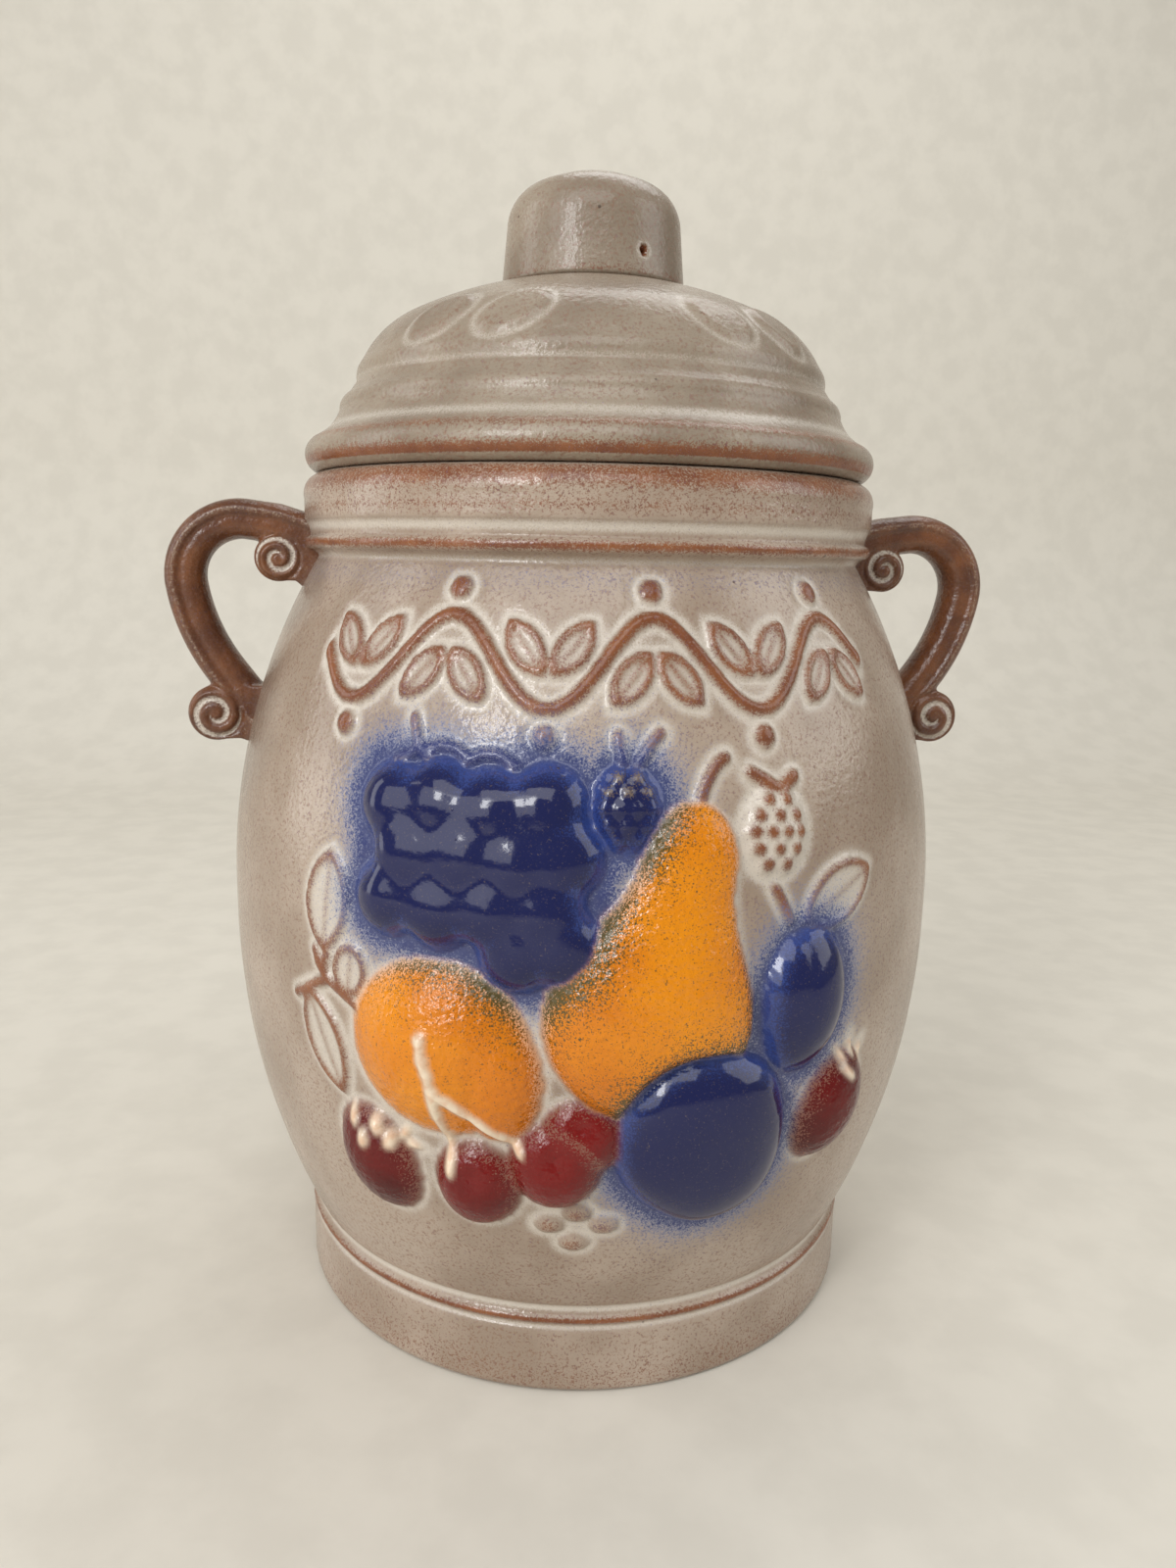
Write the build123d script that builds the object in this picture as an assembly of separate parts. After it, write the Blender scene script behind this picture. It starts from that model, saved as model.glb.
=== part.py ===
from build123d import *
import math
import os

# A lidded stoneware crock with two scrolled handles and raised fruit on its belly.
# Lengths are millimetres and angles are degrees. The pot's axis is Z, the foot stands on Z = 0,
# the fruit faces -Y and the handles stand on +X and -X.
# A place on the wall is an angle from -Y, positive towards +X, and a share of the crock's height.

os.makedirs("parts", exist_ok=True)

# Crock
crock_height = 222.0
belly_radius = 96.8
wall_thickness = 7.0
floor_thickness = 7.0
belly_low_height = 107.0
belly_high_height = 115.0
cavity_corner_radius = 12.0

foot_radius = 78.6
foot_ring_width = 11.0
foot_recess = 2.6
foot_edge_radius = 2.2
foot_band_height = 17.2
base_groove_depth = 0.7
base_low_groove_width = 1.7
base_bead_width = 2.0
base_high_groove_width = 3.2

collar_radius = 76.5
collar_height = 21.0
collar_bead_width = 3.4
collar_bead_rise = 1.4
collar_groove_width = 4.2
collar_root_height = 1.8
shoulder_height = 6.5
rim_width = 5.4
mouth_radius = 65.6
mouth_edge_radius = 1.4
neck_radius = 73.0

# Lid and knob
lid_seat_clearance = 0.2
lid_flange_clearance = 1.1
lid_flange_height = 9.0
lid_flange_thickness = 5.0
lid_wall_thickness = 6.0
lip_radius = 76.3
lip_seat_inset = 3.6
lip_top_inset = 3.1
lip_height = 8.9
cove_height = 7.2
band_radius = 66.9
band_height = 3.7
band_inset = 1.9
step_height = 3.3
step_inset = 2.2
shoulder_rise = 16.8
shoulder_inset = 13.3
crown_rise = 8.8

knob_base_radius = 24.2
knob_side_radius = 22.9
knob_height = 29.3
knob_side_height = 15.5
knob_round_height = 10.6
knob_top_radius = 14.2
knob_wall_thickness = 5.5
knob_seat_inset = 1.2
vent_radius = 0.9
vent_height = 6.5
vent_angle = 25.5

# Handles, with X measured from the pot's axis
handle_depth = 14.0
handle_edge_radius = 2.4
strap_thickness = 11.4
handle_root_height = 207.6
handle_top_height = 215.6
handle_top_reach = 93.2
handle_reach = 113.7
handle_reach_height = 192.6
handle_tail_reach = 98.6
handle_tail_height = 170.0
handle_foot_reach = 88.0
handle_foot_height = 156.0
scroll_proud = 1.0
upper_scroll_radius = 6.3
upper_scroll_reach = 83.6
upper_scroll_height = 200.2
lower_scroll_radius = 7.5
lower_scroll_reach = 101.2
lower_scroll_height = 158.4

# Fruit on the belly: footprint and how far each stands out of the wall
pear_length = 71.5
pear_width = 47.0
pear_neck_width = 22.0
pear_relief = 8.6
peach_width = 46.0
peach_height = 42.0
peach_relief = 7.6
large_plum_length = 49.0
large_plum_width = 38.0
large_plum_relief = 8.2
small_plum_length = 35.0
small_plum_width = 22.5
small_plum_relief = 6.6
grape_diameter = 18.0
grape_relief = 6.2
cherry_diameter = 22.0
cherry_relief = 6.4
strawberry_length = 29.0
strawberry_width = 21.0
strawberry_relief = 6.0
bramble_height = 17.0
bramble_width = 15.0
bramble_relief = 2.6
raspberry_height = 19.0
raspberry_width = 16.5
raspberry_relief = 2.0
drupelet_diameter = 3.7
currant_width = 7.4
currant_height = 5.4
currant_relief = 1.5
stem_radius = 1.2
cherry_stem_radius = 1.1
sepal_length = 8.0
sepal_width = 2.6
leaf_relief = 1.1
garland_relief = 1.3
garland_stem_width = 3.2
garland_wave = 9.5
garland_leaf_length = 15.0
garland_leaf_width = 8.0
garland_leaf_spread = 6.0
garland_leaf_drop = 12.5
garland_berry_diameter = 5.6
garland_berry_gap = 1.2
lid_oval_length = 18.0
lid_oval_width = 12.0
lid_oval_relief = 1.3
lid_oval_place_share = 0.6
lid_oval_pair_angles = (-34.5, 34.5, 145.5, 214.5)
lid_oval_spread_angle = 10.2
lid_oval_tilt_angle = 52

# Worked out from the sizes above
base_radius = foot_radius - base_groove_depth / 2
base_top_height = foot_band_height + base_low_groove_width + base_bead_width + base_high_groove_width
neck_height = crock_height - collar_height
lid_seat_height = crock_height + lid_seat_clearance


def arc_radius_to(end_radius, span):
    """Radius of the arc that leaves the belly upright and reaches end_radius over the height span."""
    drop = belly_radius - end_radius
    return (drop**2 + span**2) / (2 * drop)


lower_arc_radius = arc_radius_to(base_radius, belly_low_height - base_top_height)
upper_arc_radius = arc_radius_to(neck_radius, neck_height - belly_high_height)


def wall_radius(height, proud=0):
    """Radius of the belly at a height, for the surface that stands proud of the outer wall."""
    if height < belly_low_height:
        arc = lower_arc_radius
        rise = height - belly_low_height
    elif height > belly_high_height:
        arc = upper_arc_radius
        rise = height - belly_high_height
    else:
        return belly_radius + proud
    return belly_radius - arc + math.sqrt((arc + proud) ** 2 - rise**2)


def height_at_radius(radius, arc, proud):
    """How far from the belly's level the proud arc has drawn in to a radius."""
    return math.sqrt((arc + proud) ** 2 - (radius - belly_radius + arc) ** 2)


def chain(start, *stretches):
    """Edges through points. Each stretch is an end and the share of its chord by which it bows out."""
    edges = []
    here = start
    for end, bow_share in stretches:
        if bow_share:
            chord = (end[0] - here[0], end[1] - here[1])
            middle_x = (here[0] + end[0]) / 2 + bow_share * chord[1]
            middle_y = (here[1] + end[1]) / 2 - bow_share * chord[0]
            edges.append(ThreePointArc(here, (middle_x, middle_y), end))
        else:
            edges.append(Line(here, end))
        here = end
    if math.dist(here, start) > 0:
        edges.append(Line(here, start))
    return edges


def turned(start, *stretches):
    """Solid of revolution about Z from an outline in radius and height."""
    return revolve(Plane.XZ * make_face(chain(start, *stretches)), Axis.Z)


def bow_share_of(radius, start, end):
    """Share of the chord by which an arc of that radius bows out between two points."""
    chord = math.dist(start, end)
    return (radius - math.sqrt(radius**2 - (chord / 2) ** 2)) / chord


quarter_bow_share = 0.207


def cap_bow_share(half_width, rise):
    """Share of the chord by which a cap bows out when its arc is centred on the axis."""
    return bow_share_of((half_width**2 + rise**2) / (2 * rise), (half_width, 0), (0, rise))


def belly_stretches(proud):
    """The belly's outline from its foot end to its neck end, standing proud of the outer wall."""
    low_end = (belly_radius + proud, belly_low_height)
    high_end = (belly_radius + proud, belly_high_height)
    foot_end = (wall_radius(base_top_height, proud), base_top_height)
    neck_end = (wall_radius(neck_height, proud), neck_height)
    return foot_end, [
        (low_end, bow_share_of(lower_arc_radius + proud, foot_end, low_end)),
        (high_end, 0),
        (neck_end, bow_share_of(upper_arc_radius + proud, high_end, neck_end)),
    ]


def crock_outline():
    """Outside of the crock from the foot's recess to the rim's inner edge."""
    edge = foot_edge_radius
    band_top = foot_band_height
    bead_low = band_top + base_low_groove_width
    bead_high = bead_low + base_bead_width
    bead_foot_radius = foot_radius - base_groove_depth / 2
    foot_end, belly = belly_stretches(0)
    bead_root = neck_height + collar_root_height
    bead_top = bead_root + collar_bead_width
    groove_top = bead_top + collar_groove_width
    bead_foot = collar_radius - collar_bead_rise
    shoulder_foot = crock_height - shoulder_height
    rim_radius = mouth_radius + mouth_edge_radius + rim_width
    return [
        ((foot_radius - foot_ring_width, foot_recess), 0),
        ((foot_radius - foot_ring_width + edge, 0), 0),
        ((foot_radius - edge, 0), 0),
        ((foot_radius, edge), quarter_bow_share),
        ((foot_radius, band_top), 0),
        ((bead_foot_radius, bead_low), -base_groove_depth / base_low_groove_width / 2),
        ((bead_foot_radius, bead_high), base_groove_depth / base_bead_width / 2),
        (foot_end, -base_groove_depth / base_high_groove_width),
        *belly,
        ((bead_foot, bead_root), -quarter_bow_share / 2),
        ((bead_foot, bead_top), collar_bead_rise / collar_bead_width),
        ((collar_radius, groove_top), -quarter_bow_share / 2),
        ((collar_radius, shoulder_foot), 0),
        ((rim_radius, crock_height), quarter_bow_share),
        ((mouth_radius + mouth_edge_radius, crock_height), 0),
        ((mouth_radius, crock_height - mouth_edge_radius), quarter_bow_share),
    ]


def crock_filled():
    """The crock with its outside only, as a filled block."""
    stretches = crock_outline()[:-2]
    return turned((0, foot_recess), *stretches, ((0, crock_height), 0))


def crock_cavity_stretches():
    """Inside of the crock from the mouth down to the middle of the floor."""
    deep = -wall_thickness
    floor = foot_recess + floor_thickness
    corner = cavity_corner_radius
    throat = belly_high_height + height_at_radius(mouth_radius, upper_arc_radius, deep)
    throat_end = (mouth_radius, throat)
    high_end = (belly_radius + deep, belly_high_height)
    low_end = (belly_radius + deep, belly_low_height)
    corner_top = (wall_radius(floor + corner, deep), floor + corner)
    corner_foot = (wall_radius(floor + corner, deep) - corner, floor)
    return [
        (throat_end, 0),
        (high_end, bow_share_of(upper_arc_radius + deep, throat_end, high_end) * -1),
        (low_end, 0),
        (corner_top, bow_share_of(lower_arc_radius + deep, low_end, corner_top) * -1),
        (corner_foot, -quarter_bow_share),
        ((0, floor), 0),
    ]


def crock():
    """Foot ring, belly, collar, rim and hollow inside, in one piece."""
    return turned((0, foot_recess), *crock_outline(), *crock_cavity_stretches())


def lid_outline():
    """Outside of the lid from its seat on the rim to the knob's seat."""
    seat = lid_seat_height
    lip_top = (lip_radius - lip_top_inset, seat + lip_height)
    band_foot = (band_radius, lip_top[1] + cove_height)
    band_top = (band_radius - band_inset, band_foot[1] + band_height)
    step_top = (band_top[0] - step_inset, band_top[1] + step_height)
    crown_edge = (step_top[0] - shoulder_inset, step_top[1] + shoulder_rise)
    knob_seat = (knob_base_radius, crown_edge[1] + crown_rise)
    lip_bow_share = 0.34
    cove_bow_share = -0.1
    band_bow_share = 0.14
    step_bow_share = -0.07
    shoulder_bow_share = 0.115
    crown_bow_share = 0.03
    return [
        ((lip_radius - lip_seat_inset, seat), 0),
        (lip_top, lip_bow_share),
        (band_foot, cove_bow_share),
        (band_top, band_bow_share),
        (step_top, step_bow_share),
        (crown_edge, shoulder_bow_share),
        (knob_seat, crown_bow_share),
    ]


def knob_seat_height():
    """Height of the lid's crown where the knob stands."""
    return lid_outline()[-1][0][1]


def lid_shell():
    """Domed shell with its lip, locating flange and open knob seat."""
    wall = lid_wall_thickness
    flange_radius = mouth_radius - lid_flange_clearance
    flange_foot = lid_seat_height - lid_flange_height
    outside = lid_outline()
    crown_edge = outside[-2][0]
    inner_crown = (crown_edge[0] - wall / 2, crown_edge[1] - wall)
    inner_wall = (flange_radius - lid_flange_thickness, lid_seat_height)
    top = (0, knob_seat_height())
    under_top = (0, knob_seat_height() - wall)
    inner_knob = (knob_base_radius, knob_seat_height() - wall)
    inner_shoulder_bow_share = -0.12
    inner_crown_bow_share = -0.03
    return turned(
        top,
        (under_top, 0),
        (inner_knob, 0),
        (inner_crown, inner_crown_bow_share),
        (inner_wall, inner_shoulder_bow_share),
        ((inner_wall[0], flange_foot), 0),
        ((flange_radius, flange_foot), 0),
        ((flange_radius, lid_seat_height), 0),
        *outside,
    )


def lid_block():
    """The lid with its outside only, as a filled block."""
    return turned((0, lid_seat_height), *lid_outline(), ((0, knob_seat_height()), 0))


def lid_ovals():
    """Low oval fruit in pairs round the shoulder of the lid."""
    step_top = lid_outline()[-3][0]
    shoulder = chain(step_top, lid_outline()[-2])[0]
    middle_point = shoulder @ lid_oval_place_share
    slope = shoulder % lid_oval_place_share
    fall = math.degrees(math.atan2(slope.Y, -slope.X))
    block = lid_block()
    ovals = []
    lean = 1
    for middle in lid_oval_pair_angles:
        for side in (-1, 1):
            turn = Rot(0, 0, middle + side * lid_oval_spread_angle)
            place = turn * Pos(0, -middle_point.X, middle_point.Y) * Rot(fall, 0, 0)
            oval = dome(lid_oval_length, lid_oval_width, lid_oval_relief)
            ovals.append(place * Rot(0, 0, -lean * lid_oval_tilt_angle) * oval - block)
        lean = -lean
    return grouped(ovals)


def knob():
    """Hollow knob on the crown, with the small firing vent in its side."""
    seat = knob_seat_height()
    wall = knob_wall_thickness
    side_top = seat + knob_side_height
    round_top = side_top + knob_round_height
    top = seat + knob_height
    round_bow_share = 0.17
    top_bow_share = cap_bow_share(knob_top_radius, top - round_top)
    hollow_bow_share = cap_bow_share(knob_top_radius - wall, top - round_top)
    foot = (knob_base_radius - knob_seat_inset, seat)
    block = turned(
        (0, seat),
        (foot, 0),
        ((knob_base_radius, seat + knob_seat_inset), quarter_bow_share),
        ((knob_side_radius, side_top), 0),
        ((knob_top_radius, round_top), round_bow_share),
        ((0, top), top_bow_share),
    )
    hollow = turned(
        (0, seat),
        ((knob_side_radius - wall, seat), 0),
        ((knob_side_radius - wall, side_top), 0),
        ((knob_top_radius - wall, round_top - wall), round_bow_share),
        ((0, top - wall), hollow_bow_share),
    )
    vent = Rot(0, 0, vent_angle) * Pos(0, -knob_side_radius, seat + vent_height)
    vent_hole = vent * Rot(90, 0, 0) * Cylinder(vent_radius, 3 * wall)
    return block - hollow - vent_hole


def handle(side, crock_block):
    """Strap handle with a scroll at each end, luted to the collar and the belly."""
    inside = neck_radius - wall_thickness / 2
    root = Vector(inside, 0, handle_root_height)
    top = Vector(handle_top_reach, 0, handle_top_height - strap_thickness / 2)
    reach = Vector(handle_reach - strap_thickness / 2, 0, handle_reach_height)
    tail = Vector(handle_tail_reach, 0, handle_tail_height)
    foot = Vector(handle_foot_reach, 0, handle_foot_height)
    root_run = TangentArc(top, root, tangent=(-1, 0, 0))
    top_bend = TangentArc(top, reach, tangent=(1, 0, 0))
    side_bend = TangentArc(reach, tail, tangent=top_bend % 1)
    foot_bend = TangentArc(tail, foot, tangent=side_bend % 1)
    section = RectangleRounded(strap_thickness, handle_depth, handle_edge_radius)
    strap = sweep(Plane(top, x_dir=(0, 0, 1), z_dir=(1, 0, 0)) * section, top_bend + side_bend + foot_bend)
    strap += sweep(Plane(top, x_dir=(0, 0, 1), z_dir=(-1, 0, 0)) * section, root_run)
    strap += scroll(upper_scroll_radius, upper_scroll_reach, upper_scroll_height)
    strap += scroll(lower_scroll_radius, lower_scroll_reach, lower_scroll_height)
    if side < 0:
        strap = mirror(strap, Plane.YZ)
    return strap - crock_block


def scroll(radius, reach, height):
    """Rolled end of the handle, a short round bar across it."""
    bar = Cylinder(radius, handle_depth + scroll_proud)
    bar = fillet(bar.edges().filter_by(GeomType.CIRCLE), handle_edge_radius)
    web = Pos(-radius / 2, -radius / 2, 0) * Box(radius, radius, handle_depth)
    return Pos(reach, 0, height) * Rot(90, 0, 0) * (bar + web)


def dome_shape(length, width, relief):
    """Short radius, depth of the centre and lengthening of a dome with that footprint and relief."""
    half_width = width / 2
    fall = half_width**2 / (2 * belly_radius)
    sink = (half_width**2 + fall**2 - relief**2) / (2 * (relief + fall))
    short = sink + relief
    if length == width:
        return short, sink, 1
    long_fall = (length / 2) ** 2 / (2 * upper_arc_radius)
    edge_share = max(sink - long_fall, 0) / short
    return short, sink, length / 2 / math.sqrt(1 - edge_share**2) / short


def dome(length, width, relief):
    """Ellipsoid, long along Y, sunk so that it stands relief above the wall."""
    short, sink, lengthening = dome_shape(length, width, relief)
    ball = Sphere(short)
    if lengthening > 1:
        ball = scale(ball, by=(1, lengthening, 1))
    return Pos(0, 0, -sink) * ball


def stand_of(spec, angle, height_share):
    """How far a wall dome stands out of the wall at a place, which is zero beside it."""
    middle_angle, middle_share, tilt, length, width, relief = spec
    short, sink, lengthening = dome_shape(length, width, relief)
    across = math.radians(angle - middle_angle) * wall_radius(crock_height * middle_share)
    up = (height_share - middle_share) * crock_height
    turn = math.radians(tilt)
    aside = across * math.cos(turn) - up * math.sin(turn)
    along = (across * math.sin(turn) + up * math.cos(turn)) / lengthening
    fall = across**2 / (2 * belly_radius) + up**2 / (2 * upper_arc_radius)
    rise = math.sqrt(max(short**2 - aside**2 - along**2, 0))
    return max(rise - sink + fall, 0)


def wall_place(angle, height_share, proud=0):
    """Plane on the wall: X runs to the right, Y up along the wall and Z out of it."""
    height = crock_height * height_share
    radius = wall_radius(height, proud)
    arc = upper_arc_radius if height > belly_high_height else lower_arc_radius
    level = min(max(height, belly_low_height), belly_high_height)
    lean = math.asin((height - level) / (arc + proud))
    turn = math.radians(angle)
    outward = Vector(math.sin(turn) * math.cos(lean), -math.cos(turn) * math.cos(lean), math.sin(lean))
    origin = Vector(radius * math.sin(turn), -radius * math.cos(turn), height)
    return Plane(origin=origin, x_dir=(math.cos(turn), math.sin(turn), 0), z_dir=outward)


def wall_dome(angle, height_share, tilt, length, width, relief):
    """Dome on the belly, its long axis tilted clockwise as seen from outside."""
    return wall_place(angle, height_share) * Rot(0, 0, -tilt) * dome(length, width, relief)


def stem(places, radius, domes=()):
    """Round stem through places on the wall, given by angle and height share, over the domes it crosses."""
    steps_per_run = 2 if domes else 1
    line = []
    for (angle, share), (next_angle, next_share) in zip(places, places[1:]):
        for step in range(steps_per_run):
            part = step / steps_per_run
            line.append((angle + (next_angle - angle) * part, share + (next_share - share) * part))
    line.append(places[-1])
    points = []
    for angle, share in line:
        stand = max([stand_of(spec, angle, share) for spec in domes], default=0)
        points.append(wall_place(angle, share, stand).origin)
    path = Polyline(*points) if len(points) > 2 else Line(*points)
    section = Plane(origin=points[0], z_dir=points[1] - points[0]) * Circle(radius)
    return sweep(section, path, transition=Transition.RIGHT)


def sepals(places, berry_spec):
    """Narrow sepals lying on a berry, given by angle, height share and clockwise tilt."""
    berry_dome = wall_dome(*berry_spec)
    pieces = []
    for angle, share, tilt in places:
        blank = scale(Sphere(sepal_width / 2), by=(1, sepal_length / sepal_width, 1))
        place = wall_place(angle, share) * Pos(0, 0, stand_of(berry_spec, angle, share)) * Rot(0, 0, -tilt)
        pieces.append(place * blank - wall_block - berry_dome)
    return pieces


def barrel(proud):
    """The belly alone as a filled block, standing proud of the outer wall."""
    foot_end, belly = belly_stretches(proud)
    return turned((0, base_top_height), (foot_end, 0), *belly, ((0, neck_height), 0))


def leaf(angle, height_share, tilt, length, width, skin):
    """Pointed leaf of even height on the wall, tip along the tilt."""
    bow_share = width / length / 2
    blank = make_face(chain((0, -length / 2), ((0, length / 2), bow_share), ((0, -length / 2), bow_share)))
    block = extrude(wall_place(angle, height_share) * Rot(0, 0, -tilt) * blank, wall_thickness, both=True)
    return block & skin


def grouped(solids):
    """One node from several solids."""
    return Compound(children=[solid for shape in solids for solid in shape.solids()])


def pear_blank():
    """Flattened pear with its axis let into the wall, deeper at the bulb than at the neck."""
    half_width = pear_width / 2
    fall = half_width**2 / (2 * belly_radius)
    stand = pear_relief + fall
    bulb_radius = (stand**2 + (pear_flat_share * half_width) ** 2) / (2 * pear_flat_share * stand)
    bulb_sink = pear_flat_share * bulb_radius - pear_relief
    neck_sink = bulb_sink * pear_neck_sink_share
    neck_radius_here = math.hypot(pear_neck_width / 2, neck_sink / pear_flat_share)
    neck_y = pear_length * (pear_neck_share - pear_bulb_share)
    neck_fall = neck_y**2 / (2 * upper_arc_radius)
    lean = math.degrees(math.atan((bulb_sink - neck_sink - neck_fall) / neck_y))
    foot = (0, -pear_length * pear_bulb_share)
    bulb = (bulb_radius, 0)
    waist = ((bulb_radius + neck_radius_here) / 2, neck_y / 2)
    neck = (neck_radius_here, neck_y)
    tip = (0, pear_length * (1 - pear_bulb_share))
    belly_arc = TangentArc(foot, bulb, tangent=(1, 0))
    side_arc = TangentArc(bulb, waist, tangent=belly_arc % 1)
    neck_arc = TangentArc(waist, neck, tangent=side_arc % 1)
    tip_arc = TangentArc(neck, tip, tangent=neck_arc % 1)
    half = make_face([belly_arc, side_arc, neck_arc, tip_arc, Line(tip, foot)])
    flattened = scale(revolve(half, Axis.Y), by=(1, 1, pear_flat_share))
    return Pos(0, 0, -bulb_sink) * Rot(lean, 0, 0) * flattened


def berry(spec):
    """Low dome set all over with small round drupelets, as solids that meet."""
    middle_angle, middle_share, tilt, height, width, relief = spec
    turn = math.radians(tilt)
    ball_radius = drupelet_diameter / 2
    middle = wall_dome(*spec)
    pieces = [middle - wall_block]
    for across_share, up_share in drupelet_shares:
        aside = across_share * width / 2
        along = up_share * height / 2
        across = aside * math.cos(turn) + along * math.sin(turn)
        up = along * math.cos(turn) - aside * math.sin(turn)
        share = middle_share + up / crock_height
        angle = middle_angle + math.degrees(across / wall_radius(crock_height * share))
        stand = stand_of(spec, angle, share) - drupelet_sink_share * ball_radius
        ball = Pos(*wall_place(angle, share, stand).origin) * Sphere(ball_radius)
        pieces.append(ball - middle - wall_block)
    return pieces


def fused(shapes):
    """All the shapes as one."""
    whole = shapes[0]
    for shape in shapes[1:]:
        whole += shape
    return whole


# Shares of the pear's length and of its depth
pear_bulb_share = 0.33
pear_neck_share = 0.8
pear_neck_sink_share = 0.5
pear_flat_share = 0.7

# Places on the wall: angle, share of the crock's height and, for what is long, its clockwise tilt
pear_place = (2.8, 0.472, 13.5)
peach_place = (-24.7, 0.43, 0)
large_plum_place = (10.8, 0.333, 52)
small_plum_place = (25.3, 0.475, 8)
cherry_places = ((-20.2, 0.282), (-9.4, 0.312), (-5.2, 0.345))
left_strawberry_place = (-36.0, 0.288, -22)
right_strawberry_place = (32.4, 0.342, 22)
bramble_place = (-0.8, 0.677, 0)
raspberry_place = (19.9, 0.65, 4)
currant_places = ((-10.2, 0.236), (-6.2, 0.252), (-2.2, 0.236), (-6.6, 0.212))
grape_places = (
    (-31.8, 0.668),
    (-25.2, 0.678),
    (-18.4, 0.672),
    (-11.6, 0.676),
    (-28.6, 0.628),
    (-21.6, 0.628),
    (-14.6, 0.624),
    (-8.8, 0.628),
    (-31.6, 0.582),
    (-24.8, 0.574),
    (-17.8, 0.576),
    (-11.0, 0.578),
    (-14.0, 0.536),
    (-8.4, 0.546),
)
leaf_right_place = (30.6, 0.578, 68, 25.0, 14.0)
left_leaf_places = (
    (-42.4, 0.564, 12, 23.5, 13.5),
    (-38.6, 0.497, 8, 13.0, 10.5),
    (-43.8, 0.408, -20, 31.0, 13.0),
)

# Runs of stems: angle and share of the crock's height
grape_stem_runs = (
    ((-30.9, 0.7545), (-29.5, 0.727), (-32.6, 0.7165)),
    ((-29.5, 0.727), (-26.5, 0.7315), (-24.0, 0.7315), (-21.8, 0.722), (-19.0, 0.7275), (-15.5, 0.7235)),
)
bramble_leaf_runs = (((-1.6, 0.7446), (-1.3, 0.7243)), ((3.7, 0.7464), (0.4, 0.7158)))
pear_stem_runs = (((12.9, 0.7225), (11.3, 0.7158), (9.4, 0.7027), (8.9, 0.6833)),)
cherry_stem_runs = (
    ((-25.3, 0.452), (-23.9, 0.402), (-23.9, 0.329), (-22.3, 0.301)),
    ((-23.9, 0.402), (-13.5, 0.333)),
)
raspberry_leaf_runs = (((17.0, 0.7068), (20.3, 0.692)), ((21.2, 0.692), (24.8, 0.7018)))
raspberry_stem_runs = (((19.6, 0.592), (20.9, 0.58), (22.7, 0.548)),)
left_twig_runs = (
    ((-45.1, 0.51), (-43.7, 0.482), (-40.9, 0.4725), (-37.0, 0.4577)),
    ((-47.5, 0.4577), (-43.7, 0.482)),
)
left_sepal_places = (
    (-41.0, 0.334, -20),
    (-38.3, 0.331, -12),
    (-35.2, 0.328, 0),
    (-32.4, 0.313, 18),
    (-30.2, 0.297, 30),
)
right_sepal_places = ((33.0, 0.398, -12), (35.0, 0.407, 8), (37.0, 0.396, 32))

# Drupelets of a berry: shares of its half width and half height, and of a drupelet's radius let in
drupelet_sink_share = 0.35
drupelet_shares = (
    (-0.35, 0.78),
    (0.35, 0.78),
    (-0.68, 0.38),
    (0.0, 0.42),
    (0.68, 0.38),
    (-0.8, -0.06),
    (-0.27, -0.02),
    (0.27, -0.02),
    (0.8, -0.06),
    (-0.55, -0.46),
    (0.0, -0.46),
    (0.55, -0.46),
    (-0.26, -0.84),
    (0.26, -0.84),
)

# Garland: its ends, the number of its half waves and the height of its middle
garland_start = -51.0
garland_end = 43.0
garland_half_waves = 6
garland_middle_share = 0.81
garland_leaf_tilt = 38


def garland_angle(half_waves):
    """Angle round the pot after that many half waves."""
    return garland_start + (garland_end - garland_start) * half_waves / garland_half_waves


def garland_height_share(half_waves):
    """Height share of the garland's stem after that many half waves."""
    return garland_middle_share - garland_wave / crock_height * math.sin(math.pi * half_waves)


def garland_band():
    """The garland's wavy stem as a band that runs through the wall."""
    points = []
    for step in range(2 * garland_half_waves + 1):
        origin = wall_place(garland_angle(step / 2), garland_height_share(step / 2)).origin
        points.append((origin.X, origin.Z))
    bands = []
    for step in range(0, len(points) - 1, 2):
        arc = ThreePointArc(*points[step : step + 3])
        bands.append(extrude(Plane.XZ * trace(arc, garland_stem_width), belly_radius + garland_relief))
    return fused(bands)


def garland_leaves(stem_band):
    """Two leaves in each bay of the garland, clear of its stem."""
    leaves = []
    for bay in range(garland_half_waves):
        middle = garland_angle(bay + 0.5)
        crest = -1 if bay % 2 == 0 else 1
        share = garland_height_share(bay + 0.5) - crest * garland_leaf_drop / crock_height
        for side in (-1, 1):
            angle = middle + side * math.degrees(garland_leaf_spread / belly_radius)
            tilt = crest * side * -garland_leaf_tilt
            blank = leaf(angle, share, tilt, garland_leaf_length, garland_leaf_width, garland_skin)
            leaves.append(blank - stem_band)
    return grouped(leaves)


def garland_berries():
    """A berry outside each crest of the garland."""
    away = garland_stem_width / 2 + garland_berry_gap + garland_berry_diameter / 2
    berries = []
    for bay in range(garland_half_waves):
        crest = -1 if bay % 2 == 0 else 1
        share = garland_height_share(bay + 0.5) + crest * away / crock_height
        size = (garland_berry_diameter, garland_berry_diameter, garland_relief)
        berries.append(wall_dome(garland_angle(bay + 0.5), share, 0, *size) - wall_block)
    return grouped(berries)


def stems(runs, radius, *domes):
    """Stems along several runs as one."""
    return fused([stem(run, radius, domes) for run in runs])


def less(shape, *others):
    """The shape without what the others hold."""
    for other in others:
        shape = shape - other
    return grouped([shape])


def write(name, shape):
    """Write one node."""
    shape.label = name
    export_step(shape, os.path.join("parts", name + ".step"))


crock_block = crock_filled()
wall_block = barrel(0)
garland_skin = barrel(garland_relief) - wall_block
leaf_skin = barrel(leaf_relief) - wall_block

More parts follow.
